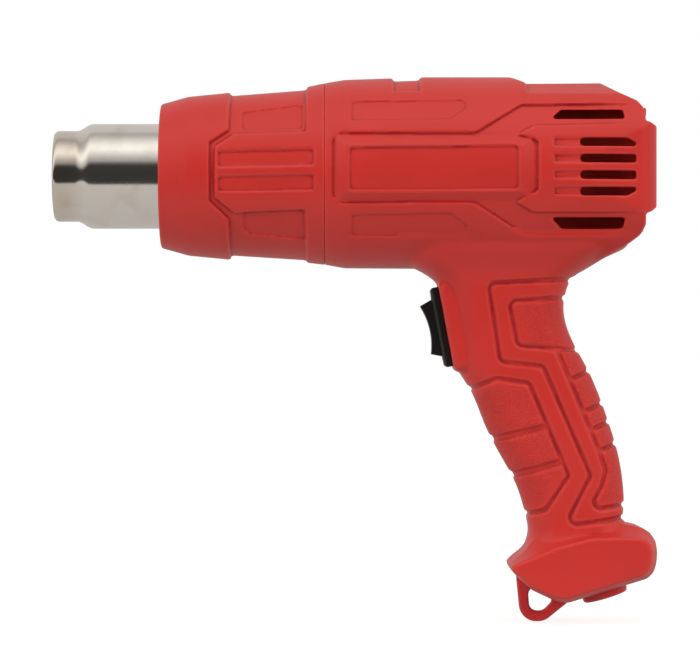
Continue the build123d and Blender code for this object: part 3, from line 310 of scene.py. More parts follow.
@dataclass(frozen=True)
class Effects:
    """The effects that materials share, with the numbers that shape them."""

    fine_detail: float = 2.0
    slow_detail: float = 3.0
    blotch_detail: float = 5.0
    speckle_span: Span = (0.35, 0.65)
    coarse_share: float = 0.5
    drift_span: Span = (0.32, 0.68)
    # Spans of the relief that take the painted edge highlight and the painted hollow shade.
    edge_highlight_span: Span = (0.15, 1.0)
    hollow_shade_span: Span = (-0.15, -1.0)
    crease_span: Span = (0.02, 0.28)
    leather_fine: float = 0.35
    middle: Place = (0.5, 0.5, 0.5)
    round_share: float = 0.02
    blotch_rate: float = 90.0
    blotch_span: Span = (0.45, 0.75)

    def build(self) -> None:
        """Builds every group once."""
        self.build_grain()
        self.build_drift()
        self.build_bends()
        self.build_leather()
        self.build_lines()

    def build_grain(self) -> None:
        """Fine moulded grain: two sizes of noise, and a speckle for the gloss."""
        inputs = {"Place": None, "Size": 0.4 * MM, "Coarse": 4.0}
        tree, given, out = Group.open("Moulded grain", inputs, ("Height", "Speckle"))
        place = given.outputs["Place"]
        rate = tree.sum("DIVIDE", 1.0, given.outputs["Size"])
        slow = tree.sum("DIVIDE", rate, given.outputs["Coarse"])
        fine = tree.noise(place, rate, self.fine_detail).outputs[0]
        coarse = tree.noise(place, slow, self.slow_detail).outputs[0]
        height = tree.sum("MULTIPLY_ADD", coarse, self.coarse_share, fine)
        tree.feed(out.inputs["Height"], height)
        tree.feed(out.inputs["Speckle"], tree.span(fine, self.speckle_span))

    def build_drift(self) -> None:
        """Slow drift of colour over a moulding."""
        inputs = {"Place": None, "Size": 30 * MM}
        tree, given, out = Group.open("Colour drift", inputs, ("Share",))
        rate = tree.sum("DIVIDE", 1.0, given.outputs["Size"])
        noise = tree.noise(given.outputs["Place"], rate, self.slow_detail).outputs[0]
        tree.feed(out.inputs["Share"], tree.span(noise, self.drift_span))

    def build_bends(self) -> None:
        """Masks of raised edges and sunk corners, from the piece's own "relief" attribute, which
        carry the painted highlight and the painted shade.
        """
        inputs = {"Reach": 0.12 * MM}
        tree, given, out = Group.open("Edge highlight and hollow shade", inputs, ("Edge", "Hollow"))
        relief = tree.add("ShaderNodeAttribute", attribute_name="relief").outputs["Fac"]
        share = tree.sum("DIVIDE", relief, given.outputs["Reach"])
        tree.feed(out.inputs["Edge"], tree.span(share, self.edge_highlight_span))
        tree.feed(out.inputs["Hollow"], tree.span(share, self.hollow_shade_span))

    def build_leather(self) -> None:
        """Leather grain of the grip's pads: rounded cells with creases between them."""
        inputs = {"Place": None, "Size": 1.0 * MM}
        tree, given, out = Group.open("Leather grain", inputs, ("Height",))
        place = given.outputs["Place"]
        size = given.outputs["Size"]
        rate = tree.sum("DIVIDE", 1.0, size)
        warp = tree.noise(place, rate, self.fine_detail)
        sockets = {0: warp.outputs["Color"], 1: self.middle}
        shift = tree.add("ShaderNodeVectorMath", sockets, operation="SUBTRACT")
        sockets = {0: shift.outputs[0], "Scale": size}
        push = tree.add("ShaderNodeVectorMath", sockets, operation="SCALE")
        sockets = {0: place, 1: push.outputs[0]}
        moved = tree.add("ShaderNodeVectorMath", sockets, operation="ADD")
        sockets = {"Vector": moved.outputs[0], "Scale": rate}
        cells = tree.add("ShaderNodeTexVoronoi", sockets, feature="DISTANCE_TO_EDGE")
        crease = tree.span(cells.outputs["Distance"], self.crease_span)
        fine = tree.sum("MULTIPLY", warp.outputs[0], self.leather_fine)
        tree.feed(out.inputs["Height"], tree.sum("ADD", crease, fine))

    def build_lines(self) -> None:
        """Fine lines that run round a drawn tube whose axis is X, with faint blotches."""
        inputs = {"Place": None, "Size": 0.25 * MM}
        tree, given, out = Group.open("Drawn lines", inputs, ("Line", "Blotch"))
        place = given.outputs["Place"]
        axis = tree.add("ShaderNodeSeparateXYZ", {0: place}).outputs
        rate = tree.sum("DIVIDE", 1.0, given.outputs["Size"])
        slow = tree.sum("MULTIPLY", rate, self.round_share)
        along = tree.sum("MULTIPLY", axis["X"], rate)
        side = tree.sum("MULTIPLY", axis["Y"], slow)
        up = tree.sum("MULTIPLY", axis["Z"], slow)
        stretched = tree.add("ShaderNodeCombineXYZ", {0: along, 1: side, 2: up}).outputs[0]
        lines = tree.noise(stretched, 1.0, self.slow_detail).outputs[0]
        blotch = tree.noise(place, self.blotch_rate, self.blotch_detail).outputs[0]
        tree.feed(out.inputs["Line"], lines)
        tree.feed(out.inputs["Blotch"], tree.span(blotch, self.blotch_span))


# Finishes

@dataclass(frozen=True)
class Blank:
    """A new material: its tree, its shader and the object's own coordinates."""

    material: bpy.types.Material
    tree: Tree
    shader: bpy.types.Node
    place: bpy.types.NodeSocket

    @classmethod
    def start(cls, name: str) -> "Blank":
        """Starts a material.

        Args:
            name: The material's name.

        Returns:
            The material with its shader joined to its output.
        """
        material = bpy.data.materials.new(name)
        material.use_nodes = True
        material.node_tree.nodes.clear()
        tree = Tree(material.node_tree)
        shader = tree.add("ShaderNodeBsdfPrincipled")
        tree.add("ShaderNodeOutputMaterial", {"Surface": shader.outputs[0]})
        return cls(material, tree, shader, tree.add("ShaderNodeTexCoord").outputs["Object"])

    def finish(self, **inputs: object) -> bpy.types.Material:
        """Feeds the shader.

        Args:
            inputs: Values or outputs, by the input's name with _ for each space.

        Returns:
            The material.
        """
        for name, value in inputs.items():
            self.tree.feed(self.shader.inputs[name.replace("_", " ")], value)
        return self.material


@dataclass(frozen=True)
class Moulding:
    """Moulded plastic with fine grain and, where asked, a painted highlight on raised edges,
    painted shade in hollows and leather-grained pads.
    """

    name: str
    colour: Colour
    second: Colour
    edge_highlight: Colour
    hollow_shade: Colour
    roughness: float = 0.42
    grain: float = 0.42 * MM
    relief: float = 0.012 * MM
    bend_light_and_shade: bool = False
    pads: bool = False
    specular: float = 0.5
    speckle: float = 0.08
    leather_relief: float = 0.14 * MM
    leather_rough: float = 0.06

    def build(self) -> bpy.types.Material:
        """Builds the material.

        Returns:
            The material.
        """
        blank = Blank.start(self.name)
        tree = blank.tree
        grain = Group.use(tree, "Moulded grain", {"Place": blank.place, "Size": self.grain})
        drift = Group.use(tree, "Colour drift", {"Place": blank.place})
        colour = tree.blend(drift.outputs["Share"], self.colour, self.second)
        # Painted shade darkens the hollows and a painted highlight brightens the raised edges.
        if self.bend_light_and_shade:
            bend_light_and_shade = Group.use(tree, "Edge highlight and hollow shade")
            colour = tree.blend(bend_light_and_shade.outputs["Hollow"], colour, self.hollow_shade)
            colour = tree.blend(bend_light_and_shade.outputs["Edge"], colour, self.edge_highlight)
        smoothest = self.roughness - self.speckle / 2
        rough = tree.sum("MULTIPLY_ADD", grain.outputs["Speckle"], self.speckle, smoothest)
        normal = tree.bump(grain.outputs["Height"], self.relief)
        if self.pads:
            pad = tree.add("ShaderNodeAttribute", attribute_name="pad").outputs["Fac"]
            leather = Group.use(tree, "Leather grain", {"Place": blank.place})
            height = tree.sum("MULTIPLY", leather.outputs["Height"], pad)
            normal = tree.bump(height, self.leather_relief, normal)
            rough = tree.sum("MULTIPLY_ADD", pad, self.leather_rough, rough)
        blank.shader.inputs["Specular IOR Level"].default_value = self.specular
        return blank.finish(Base_Color=colour, Roughness=rough, Normal=normal)


@dataclass(frozen=True)
class Metal:
    """Plain metal with lines round X, faint blotches and, where asked, heat tint at the mouth."""

    name: str
    colour: Colour
    stain: Colour
    roughness: float = 0.2
    line: float = 0.25 * MM
    relief: float = 0.001 * MM
    blotch: float = 0.35
    heat: bool = False
    tint: Colour = (0.55, 0.42, 0.28)
    tint_span: Span = (9 * MM, -1 * MM)
    tint_least: float = 0.35
    tint_blotch: float = 0.3
    line_rough: float = 0.12
    blotch_rough: float = 0.06

    def build(self) -> bpy.types.Material:
        """Builds the material.

        Returns:
            The material.
        """
        blank = Blank.start(self.name)
        tree = blank.tree
        lines = Group.use(tree, "Drawn lines", {"Place": blank.place, "Size": self.line})
        line, blotch = lines.outputs["Line"], lines.outputs["Blotch"]
        share = tree.sum("MULTIPLY", blotch, self.blotch)
        colour = tree.blend(share, self.colour, self.stain)
        if self.heat:
            axis = tree.add("ShaderNodeSeparateXYZ", {0: blank.place})
            near = tree.span(axis.outputs["X"], self.tint_span)
            uneven = tree.sum("MULTIPLY_ADD", blotch, self.tint_blotch, self.tint_least)
            colour = tree.blend(tree.sum("MULTIPLY", near, uneven), colour, self.tint)
        smoothest = self.roughness - self.line_rough / 2
        rough = tree.sum("MULTIPLY_ADD", line, self.line_rough, smoothest)
        rough = tree.sum("MULTIPLY_ADD", blotch, self.blotch_rough, rough)
        blank.shader.inputs["Metallic"].default_value = 1.0
        normal = tree.bump(line, self.relief)
        return blank.finish(Base_Color=colour, Roughness=rough, Normal=normal)


@dataclass(frozen=True)
class Mineral:
    """Mica, ceramic, gasket or board: mottled, matt and slightly rough."""

    name: str
    colour: Colour
    second: Colour
    fleck: Colour
    roughness: float = 0.6
    size: float = 0.8 * MM
    relief: float = 0.03 * MM
    mottle: float = 6 * MM
    fleck_power: float = 3.0
    fleck_share: float = 0.5
    speckle: float = 0.15
    smoother: float = 0.08

    def build(self) -> bpy.types.Material:
        """Builds the material.

        Returns:
            The material.
        """
        blank = Blank.start(self.name)
        tree = blank.tree
        grain = Group.use(tree, "Moulded grain", {"Place": blank.place, "Size": self.size})
        drift = Group.use(tree, "Colour drift", {"Place": blank.place, "Size": self.mottle})
        speckle = grain.outputs["Speckle"]
        colour = tree.blend(drift.outputs["Share"], self.colour, self.second)
        few = tree.sum("POWER", speckle, self.fleck_power)
        colour = tree.blend(tree.sum("MULTIPLY", few, self.fleck_share), colour, self.fleck)
        smoothest = self.roughness - self.smoother
        rough = tree.sum("MULTIPLY_ADD", speckle, self.speckle, smoothest)
        normal = tree.bump(grain.outputs["Height"], self.relief)
        return blank.finish(Base_Color=colour, Roughness=rough, Normal=normal)


def grey(value: float, warm: float = 0.0) -> Colour:
    """A grey, warmer where asked."""
    return value * (1 + warm), value, value * (1 - warm)


# Colours of a moulding: base, drift, painted highlight on raised edges, painted shade in hollows.
RED = Moulding(
    "Red moulding", (0.590, 0.031, 0.024), (0.560, 0.028, 0.021), (0.630, 0.044, 0.032),
    (0.300, 0.007, 0.010), roughness=0.42, bend_light_and_shade=True, pads=True, specular=0.42,
)
DEEP_RED = Moulding(
    "Deeper red moulding", (0.565, 0.026, 0.028), (0.530, 0.022, 0.025), (0.610, 0.034, 0.030),
    (0.300, 0.008, 0.012), roughness=0.36, bend_light_and_shade=True, specular=0.42,
)
BLACK = Moulding(
    "Black moulding", grey(0.0085, 0.15), grey(0.0070, 0.15), grey(0.0160, 0.1), grey(0.005),
    roughness=0.34, grain=0.3 * MM, relief=0.006 * MM, bend_light_and_shade=True,
)
STEEL = Metal(
    "Drawn steel", (0.83, 0.775, 0.71), (0.66, 0.59, 0.50), roughness=0.13, blotch=0.5, heat=True,
)

# Finish of each of the record's slots
FINISHES: dict[str, Moulding | Metal | Mineral] = {
    "housing": RED,
    "eye_plastic": DEEP_RED,
    "inlet_bush": DEEP_RED,
    "nozzle_steel": STEEL,
    "switch_black": BLACK,
    "rocker_black": BLACK,
    "guard_steel": Metal(
        "Heat-browned steel", (0.42, 0.36, 0.30), (0.20, 0.14, 0.10), 0.35, blotch=0.7,
    ),
    "mica": Mineral("Mica", (0.52, 0.44, 0.31), (0.42, 0.34, 0.22), (0.72, 0.66, 0.52), 0.35),
    "gasket": Mineral(
        "Fibre gasket", grey(0.52, 0.04), grey(0.42, 0.05), grey(0.70, 0.02), 0.85,
    ),
    "ceramic": Mineral(
        "White ceramic", grey(0.74, 0.03), grey(0.66, 0.05), grey(0.84), 0.45, 0.5 * MM, 0.01 * MM,
    ),
    "resistance_wire": Metal(
        "Oxidised wire", (0.30, 0.27, 0.25), (0.16, 0.12, 0.10), 0.42, 0.1 * MM,
    ),
    "tin_plate": Metal("Tinned plate", (0.72, 0.72, 0.70), (0.52, 0.52, 0.50), 0.30),
    "zinc_plate": Metal("Zinc plate", (0.62, 0.64, 0.66), (0.42, 0.44, 0.46), 0.28),
    "bright_steel": Metal(
        "Ground steel", (0.66, 0.66, 0.66), (0.50, 0.50, 0.50), 0.18, 0.1 * MM,
    ),
    "core_steel": Metal(
        "Laminated steel", (0.36, 0.36, 0.37), (0.22, 0.20, 0.19), 0.40, 0.5 * MM, 0.02 * MM,
    ),
    "bronze": Metal("Sintered bronze", (0.60, 0.42, 0.22), (0.42, 0.28, 0.14), 0.40),
    "copper": Metal("Copper", (0.80, 0.42, 0.26), (0.55, 0.26, 0.15), 0.26, 0.1 * MM),
    "magnet": Mineral("Ferrite", grey(0.055), grey(0.040), grey(0.10), 0.62),
    "duct_plastic": Moulding(
        "Heat-proof duct", grey(0.20), grey(0.17), grey(0.24), grey(0.12), 0.5,
    ),
    "fan_plastic": Moulding(
        "Fan plastic", grey(0.045), grey(0.035), grey(0.06), grey(0.03), 0.4,
    ),
    "inner_plastic": Moulding(
        "Inner plastic", grey(0.62, 0.04), grey(0.55, 0.04), grey(0.7), grey(0.4), 0.45,
    ),
    "circuit_board": Mineral(
        "Circuit board", (0.05, 0.20, 0.08), (0.04, 0.16, 0.07), (0.10, 0.30, 0.14), 0.40,
        0.6 * MM, 0.01 * MM,
    ),
    "diode_black": Moulding(
        "Diode body", grey(0.03), grey(0.02), grey(0.05), grey(0.01), 0.35,
    ),
    "capacitor_blue": Moulding(
        "Capacitor body", (0.04, 0.12, 0.42), (0.03, 0.10, 0.36), (0.08, 0.2, 0.5),
        (0.02, 0.06, 0.2), 0.3,
    ),
    "lead_heat": Mineral(
        "Glass-fibre sleeve", grey(0.66, 0.05), grey(0.55, 0.08), grey(0.82), 0.7, 0.5 * MM,
        0.05 * MM,
    ),
    "lead_black": Moulding(
        "Black lead", grey(0.02), grey(0.016), grey(0.03), grey(0.01), 0.38,
    ),
    "lead_brown": Moulding(
        "Brown lead", (0.12, 0.045, 0.02), (0.10, 0.035, 0.015), (0.16, 0.06, 0.03),
        (0.05, 0.02, 0.01), 0.38,
    ),
}


class Finisher:
    """Builds each slot's material once and dresses CAD nodes with it."""

    def __init__(self) -> None:
        """Starts with no material."""
        self.made: dict[str, bpy.types.Material] = {}

    def material(self, slot: str) -> bpy.types.Material:
        """The material of a slot, built at its first use.

        Args:
            slot: Name of the record's slot.

        Returns:
            The material.
        """
        if slot not in self.made:
            self.made[slot] = FINISHES[slot].build()
        return self.made[slot]

    def dress_node(self, node: bpy.types.Object) -> None:
        """Gives a CAD node the material of its slot.

        Args:
            node: The node's object.
        """
        material = self.material(node.data.materials[0].name)
        for entry in node.material_slots:
            entry.material = material


# Pieces

def bind(piece: bpy.types.Object, body: str, slot: Part, *nodes: str) -> None:
    """Rides a piece on its body, hides the CAD nodes that it stands for and logs its size.

    Args:
        piece: The finished piece.
        body: Name of the CAD body.
        slot: The record's slot; not used.
        nodes: CAD nodes that it stands for.
    """
    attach(piece, body)
    if nodes:
        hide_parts(*nodes)
    LOG.info("%s: %d faces on %s", piece.name, len(piece.data.polygons), body)


def new_piece(name: str, mesh: bpy.types.Mesh, material: bpy.types.Material) -> bpy.types.Object:
    """Makes an object of a mesh, shaded smooth, with one material.

    Args:
        name: The piece's name.
        mesh: Its mesh.
        material: Its material.

    Returns:
        The object.
    """
    piece = bpy.data.objects.new(name, mesh)
    bpy.context.scene.collection.objects.link(piece)
    mesh.materials.clear()
    mesh.materials.append(material)
    mesh.shade_smooth()
    return piece


def settle(piece: bpy.types.Object) -> None:
    """Applies a piece's modifiers.

    Args:
        piece: The piece.
    """
    bpy.context.view_layer.update()
    seen = piece.evaluated_get(bpy.context.evaluated_depsgraph_get())
    mesh = bpy.data.meshes.new_from_object(seen)
    piece.modifiers.clear()
    piece.data = mesh


@dataclass
class SoftMoulding:
    """A moulding whose sharp CAD edges are worn to the soft edges of a real one."""

    node: str
    name: str
    slot: Part
    body: str = "housing"
    voxel: float = 0.4 * MM
    quick_voxel: float = 0.9 * MM
    passes: int = 6
    relief_passes: int = 9
    pass_share: float = 0.5
    most_faces: int = 190_000
    seam: float = 97.28 * MM
    seam_hold: float = 0.5 * MM
    parted: bool = False

    def build(self, frame: dict, finisher: Finisher) -> bpy.types.Object:
        """Builds the piece from the node's own solid.

        Args:
            finisher: Source of the materials.

        Returns:
            The piece.
        """
        mesh = frame["nodes"][self.node].data.copy()
        shape = bmesh.new()
        shape.from_mesh(mesh)
        bmesh.ops.remove_doubles(shape, verts=shape.verts, dist=SAME_POINT)
        shape.to_mesh(mesh)
        shape.free()
        piece = new_piece(self.name, mesh, finisher.material(self.slot.value))
        remesh = piece.modifiers.new("Even mesh", "REMESH")
        remesh.mode = "VOXEL"
        remesh.voxel_size = self.voxel
        settle(piece)
        self.soften(piece.data)
        self.mark_relief(piece.data)
        triangles = 2 * len(piece.data.polygons)
        if triangles > self.most_faces:
            thin = piece.modifiers.new("Fewer faces", "DECIMATE")
            thin.ratio = self.most_faces / triangles
            settle(piece)
        piece.data.shade_smooth()
        self.mark(piece.data)
        bind(piece, self.body, self.slot, self.node)
        return piece

    def soften(self, mesh: bpy.types.Mesh) -> None:
        """Rounds the edges by a few even passes, with the joints between mouldings held.

        Args:
            mesh: The piece's mesh.
        """
        shape = bmesh.new()
        shape.from_mesh(mesh)
        loose = [vert for vert in shape.verts if abs(vert.co.x - self.seam) > self.seam_hold]
        if self.parted:
            loose = [vert for vert in loose if abs(vert.co.y) > self.seam_hold]
        self.wear(shape, loose, self.passes)
        for verts, passes in self.softer_zones(loose):
            self.wear(shape, verts, passes)
        shape.to_mesh(mesh)
        shape.free()

    def wear(self, shape: bmesh.types.BMesh, verts: list[bmesh.types.BMVert], passes: int) -> None:
        """Smooths some points.

        Args:
            shape: The mesh.
            verts: The points.
            passes: How many times each moves part of the way to its neighbours' middle.
        """
        for _ in range(passes):
            bmesh.ops.smooth_vert(
                shape, verts=verts, factor=self.pass_share, use_axis_x=True, use_axis_y=True,
                use_axis_z=True,
            )

    def softer_zones(self, loose: list[bmesh.types.BMVert]) -> Zones:
        """Parts of the moulding with rounder edges: none, unless a subclass names some.

        Args:
            loose: The points that may move; not used.

        Returns:
            Points and their extra passes.
        """
        return []

    def mark(self, mesh: bpy.types.Mesh) -> None:
        """Marks what a subclass's material needs to know."""

    def mark_relief(self, mesh: bpy.types.Mesh) -> None:
        """Marks how far each point stands out of the surface round it, as an attribute.

        Args:
            mesh: The piece's mesh.
        """
        places = self.read(mesh.vertices, "co")
        normals = self.read(mesh.vertices, "normal")
        shape = bmesh.new()
        shape.from_mesh(mesh)
        self.wear(shape, list(shape.verts), self.relief_passes)
        even = np.array([vert.co for vert in shape.verts], np.float32)
        shape.free()
        attribute = mesh.attributes.new("relief", "FLOAT", "POINT")
        attribute.data.foreach_set("value", ((places - even) * normals).sum(axis=1))

    def read(self, items: bpy.types.bpy_prop_collection, name: str) -> np.ndarray:
        """Reads a vector of every item.

        Args:
            items: The mesh's points.
            name: The vector's name.

        Returns:
            One row a point.
        """
        values = np.empty(len(items) * 3, np.float32)
        items.foreach_get(name, values)
        return values.reshape(-1, 3)


@dataclass
class Shell(SoftMoulding):
    """A half of the housing, with leather grain on the grip's pads."""

    pads: tuple[Points, ...] = (
        ((514, 303), (560, 299), (566, 325), (580, 347), (524, 344)),
        ((462, 400), (500, 382), (527, 387), (549, 428), (563, 470), (541, 506), (500, 512)),
        ((558, 350), (590, 350), (630, 460), (630, 500), (592, 504), (606, 487), (611, 471),
         (602, 447)),
    )
    pad_depth: float = 14 * MM
    fade: float = 0.8 * MM
    foot_top: float = -135 * MM
    foot_passes: int = 16
    soft_areas: tuple[tuple[Points, int], ...] = (
        (((430, 279), (466, 372)), 12),
        (((396, 229), (640, 268)), 45),
        (((328, 128), (349, 206)), 8),
    )

    def softer_zones(self, loose: list[bmesh.types.BMVert]) -> Zones:
        """The foot, and areas of the side view: switch frame, neck and end of the bare panel.

        Args:
            loose: The points that may move.

        Returns:
            Points and their extra passes.
        """
        zones = [([vert for vert in loose if vert.co.z < self.foot_top], self.foot_passes)]
        for (start, end), passes in self.soft_areas:
            left, top = PICTURE.place(*start)
            right, low = PICTURE.place(*end)
            verts = [
                vert for vert in loose if left < vert.co.x < right and low < vert.co.z < top
            ]
            zones.append((verts, passes))
        return zones

    def mark(self, mesh: bpy.types.Mesh) -> None:
        """Marks the pads as an attribute of the points.

        Args:
            mesh: The piece's mesh.
        """
        places = self.read(mesh.vertices, "co")
        share = np.zeros(len(places), np.float32)
        for pad in self.pads:
            corners = np.array([PICTURE.place(*point, self.pad_depth) for point in pad])
            share = np.maximum(share, self.inside(places[:, 0], places[:, 2], corners))
        attribute = mesh.attributes.new("pad", "FLOAT", "POINT")
        attribute.data.foreach_set("value", share)

    def inside(self, x: np.ndarray, z: np.ndarray, corners: np.ndarray) -> np.ndarray:
        """Share of a pad at each point, fading to none at its outline.

        Args:
            x: The points' x.
            z: The points' z.
            corners: Corners of the outline.

        Returns:
            Values from 0 outside to 1 inside.
        """
        within = np.zeros(len(x), bool)
        least = np.full(len(x), np.inf)
        for (x0, z0), (x1, z1) in zip(corners, np.roll(corners, -1, axis=0)):
            crossing = (z0 > z) != (z1 > z)
            with np.errstate(divide="ignore", invalid="ignore"):
                within ^= crossing & (x < (x1 - x0) * (z - z0) / (z1 - z0) + x0)
            length = (x1 - x0) ** 2 + (z1 - z0) ** 2
            along = np.clip(((x - x0) * (x1 - x0) + (z - z0) * (z1 - z0)) / length, 0, 1)
            off = np.hypot(x - x0 - along * (x1 - x0), z - z0 - along * (z1 - z0))
            least = np.minimum(least, off)
        return np.where(within, np.clip(least / self.fade, 0, 1), 0).astype(np.float32)


@dataclass
class Nozzle:
    """Drawn steel nozzle: rolled mouth, spigot, flare and tube, spun in one piece.

    Its sizes, and the profile's points along X and out from it, are in millimetres.
    """

    profile: Points = (
        (-4.5, 15.45), (-5.3, 15.55), (-5.2, 16.25), (-4.6, 16.9), (-3.8, 17.22), (-2.8, 17.25),
        (3.5, 17.25), (4.1, 17.38), (5.0, 17.8), (6.3, 18.6), (7.4, 19.25), (8.3, 19.68),
        (9.0, 19.86), (11.0, 19.9),
    )
    inner_start: int = 3
    sheet: float = 0.8
    rear_bend: tuple[float, float] = (2.0, 0.5)
    flange_round: float = 0.2
    steps: int = 192

    def build(self, finisher: Finisher) -> bpy.types.Object:
        """Spins the profile and gives it the CAD nozzle's rear end.

        Args:
            finisher: Source of the materials.

        Returns:
            The piece.
        """
        _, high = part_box("nozzle")
        flange_r = high.y / MM
        back = high.x / MM
        front = back - self.sheet
        tube_r = self.profile[-1][1]
        bend_run, bend_rise = self.rear_bend
        flange_side = flange_r - self.flange_round
        outer = [*self.profile, (back - bend_run, tube_r), (front, tube_r + bend_rise)]
        outer += [(front, flange_side), (back - self.sheet / 2, flange_r)]
        outer += [(back, flange_side), (back, tube_r - self.sheet)]
        inner = [(x, r - self.sheet) for x, r in reversed(self.profile[self.inner_start:])]
        mesh = bpy.data.meshes.new("drawn_nozzle")
        shape = bmesh.new()
        ring = [shape.verts.new((x * MM, 0, r * MM)) for x, r in (*outer, *inner)]
        edges = [shape.edges.new(pair) for pair in zip(ring, ring[1:] + ring[:1])]
        bmesh.ops.spin(
            shape, geom=ring + edges, cent=(0, 0, 0), axis=(1, 0, 0), angle=FULL_TURN,
            steps=self.steps, use_merge=True,
        )
        bmesh.ops.remove_doubles(shape, verts=shape.verts, dist=SAME_POINT)
        bmesh.ops.recalc_face_normals(shape, faces=shape.faces)
        shape.to_mesh(mesh)
        shape.free()
        piece = new_piece("drawn_nozzle", mesh, finisher.material(Part.NOZZLE.value))
        bind(piece, "housing", Part.NOZZLE, "nozzle")
        return piece


# Studio

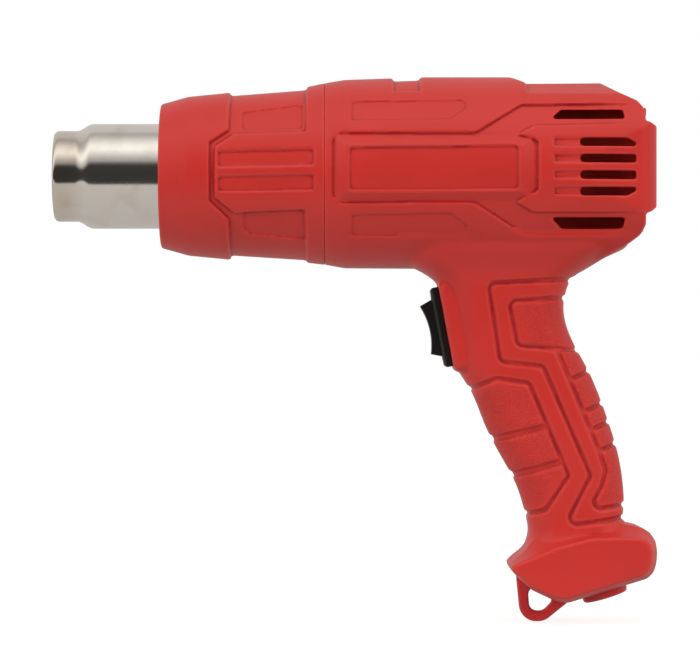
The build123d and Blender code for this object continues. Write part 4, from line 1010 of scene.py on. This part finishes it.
@dataclass
class Studio:
    """Pale floor, soft light and the camera of the side view."""

    floor_size: float = 8.0
    floor_middle: float = 0.1
    floor_front: float = -0.47
    floor_drop: float = 0.2 * MM
    floor_colour: Colour = (0.30, 0.29, 0.28)
    floor_darker: float = 0.98
    floor_grain: float = 2 * MM
    floor_rough: float = 0.9
    floor_glow: float = 0.27
    floor_bright: float = 0.54
    lights: tuple[tuple[str, Place], ...] = (
        ("Left", (-1.1, -1.2, 0.45)),
        ("Right", (1.4, -1.2, 0.45)),
    )
    light_size: float = 1.0
    light_power: float = 14.0
    light_aim: Place = (0.107, 0, -0.059)
    sky: Points = (
        (-180, 0.66), (-30, 0.60), (-24, 0.30), (-18, 0.04), (22, 0.04), (27, 0.15), (32, 0.43),
        (39, 0.56), (48, 0.85), (60, 1.2), (72, 1.1), (85, 0.78), (97, 0.52), (104, 0.46),
        (116, 0.62), (180, 0.66),
    )
    sky_warmth: float = 0.015
    sensor: float = 36.0
    farthest: float = 20.0

    def build(self) -> None:
        """Builds the floor, the lights, the surroundings and the camera."""
        self.build_floor()
        self.build_world()
        for name, place in self.lights:
            self.build_light(name, place)
        self.build_camera()
        bpy.context.scene.view_settings.view_transform = "Standard"

    def build_floor(self) -> None:
        """Makes the floor under the lowest point, which glows for the camera until it is white."""
        shape = bmesh.new()
        bmesh.ops.create_grid(shape, x_segments=1, y_segments=1, size=self.floor_size / 2)
        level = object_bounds()[0].z - self.floor_drop
        middle = self.floor_front + self.floor_size / 2
        bmesh.ops.translate(shape, verts=shape.verts, vec=(self.floor_middle, middle, level))
        mesh = bpy.data.meshes.new("floor")
        shape.to_mesh(mesh)
        shape.free()
        blank = Blank.start("Pale floor")
        tree = blank.tree
        sockets = {"Place": blank.place, "Size": self.floor_grain}
        speckle = Group.use(tree, "Moulded grain", sockets).outputs["Speckle"]
        darker = tuple(value * self.floor_darker for value in self.floor_colour)
        sight = tree.add("ShaderNodeLightPath").outputs["Is Camera Ray"]
        blank.shader.inputs["Roughness"].default_value = self.floor_rough
        blank.shader.inputs["Emission Color"].default_value = (1, 1, 1, 1)
        material = blank.finish(
            Base_Color=tree.blend(speckle, self.floor_colour, darker),
            Emission_Strength=tree.sum("MULTIPLY_ADD", sight, self.floor_bright, self.floor_glow),
        )
        new_piece("floor", mesh, material)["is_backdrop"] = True

    def build_light(self, name: str, place: Place) -> None:
        """Adds a soft light that faces the tool.

        Args:
            name: The light's name.
            place: Where it hangs.
        """
        light = bpy.data.lights.new(name, "AREA")
        light.size = self.light_size
        light.energy = self.light_power
        holder = bpy.data.objects.new(name, light)
        holder.visible_glossy = False
        holder.location = place
        aim = Vector(self.light_aim) - holder.location
        holder.rotation_euler = aim.to_track_quat("-Z", "Y").to_euler()
        bpy.context.scene.collection.objects.link(holder)

    def build_world(self) -> None:
        """Makes surroundings that are white to the camera and banded in the nozzle's reflection."""
        world = bpy.data.worlds.new("Studio")
        bpy.context.scene.world = world
        world.use_nodes = True
        world.node_tree.nodes.clear()
        tree = Tree(world.node_tree)
        place = tree.add("ShaderNodeTexCoord")
        axis = tree.add("ShaderNodeSeparateXYZ", {0: place.outputs["Generated"]})
        front = tree.sum("MULTIPLY", axis.outputs["Y"], -1.0)
        turn = tree.sum("ARCTAN2", axis.outputs["Z"], front)
        share = tree.sum("MULTIPLY_ADD", turn, 1 / FULL_TURN, 0.5)
        ramp = tree.add("ShaderNodeValToRGB", {0: share})
        self.fill_ramp(ramp.color_ramp)
        sight = tree.add("ShaderNodeLightPath")
        white = (1.0, 1.0, 1.0)
        colour = tree.blend(sight.outputs["Is Camera Ray"], ramp.outputs["Color"], white)
        back = tree.add("ShaderNodeBackground", {"Color": colour, "Strength": 1.0})
        tree.add("ShaderNodeOutputWorld", {"Surface": back.outputs[0]})

    def fill_ramp(self, ramp: bpy.types.ColorRamp) -> None:
        """Sets the brightness at each angle above the camera's side, in degrees.

        Args:
            ramp: The ramp, whose middle is the camera's side.
        """
        while len(ramp.elements) > 1:
            ramp.elements.remove(ramp.elements[-1])
        for index, (angle, level) in enumerate(self.sky):
            position = angle / 360 + 0.5
            entry = ramp.elements[0] if index == 0 else ramp.elements.new(position)
            entry.position = position
            entry.color = (*grey(level, self.sky_warmth), 1.0)

    def build_camera(self) -> None:
        """Makes the camera that looks straight at the tool's side."""
        camera = bpy.data.cameras.new("Side camera")
        camera.sensor_width = self.sensor
        camera.lens = self.sensor * PICTURE.distance / (PICTURE.width * PICTURE.pixel)
        camera.clip_end = self.farthest
        holder = bpy.data.objects.new("Side camera", camera)
        x, z = PICTURE.place(*PICTURE.centre)
        holder.location = (x, -PICTURE.distance, z)
        holder.rotation_euler = (math.pi / 2, 0, 0)
        bpy.context.scene.collection.objects.link(holder)
        bpy.context.scene.camera = holder


@dataclass
class HeatTool:
    """The whole tool: its soft mouldings, nozzle and the CAD nodes that only get a finish."""

    mouldings: list[SoftMoulding] = field(default_factory=lambda: [
        Shell("housing_left", "near_shell", Part.SHELL, parted=True),
        Shell("housing_right", "far_shell", Part.SHELL, parted=True),
        SoftMoulding("front_sleeve", "front_shroud", Part.SHELL, voxel=0.35 * MM, passes=11,
                     relief_passes=12),
        SoftMoulding("hanging_eye", "hanging_loop", Part.EYE, voxel=0.3 * MM,
                     quick_voxel=0.4 * MM),
        SoftMoulding("cord_inlet_bush", "inlet_bush", Part.BUSH, voxel=0.3 * MM,
                     quick_voxel=0.4 * MM),
        SoftMoulding("switch_housing", "switch_bezel", Part.SWITCH, voxel=0.25 * MM,
                     quick_voxel=0.35 * MM, passes=2),
        SoftMoulding("rocker", "rocker_key", Part.ROCKER, body="rocker", voxel=0.2 * MM,
                     quick_voxel=0.3 * MM, passes=2),
    ])
    nozzle: Nozzle = field(default_factory=Nozzle)

    def build(self, frame: dict) -> None:
        """Builds and dresses every piece.
        """
        finisher = Finisher()
        for node in frame["nodes"].values():
            finisher.dress_node(node)
        for moulding in self.mouldings:
            moulding.build(frame, finisher)
        self.nozzle.build(finisher)


def main() -> None:
    """Loads the frame, dresses the tool and sets up the studio."""
    logging.basicConfig(level=logging.INFO)
    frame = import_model()
    Effects().build()
    HeatTool().build(frame)
    Studio().build()


if __name__ == "__main__":
    main()
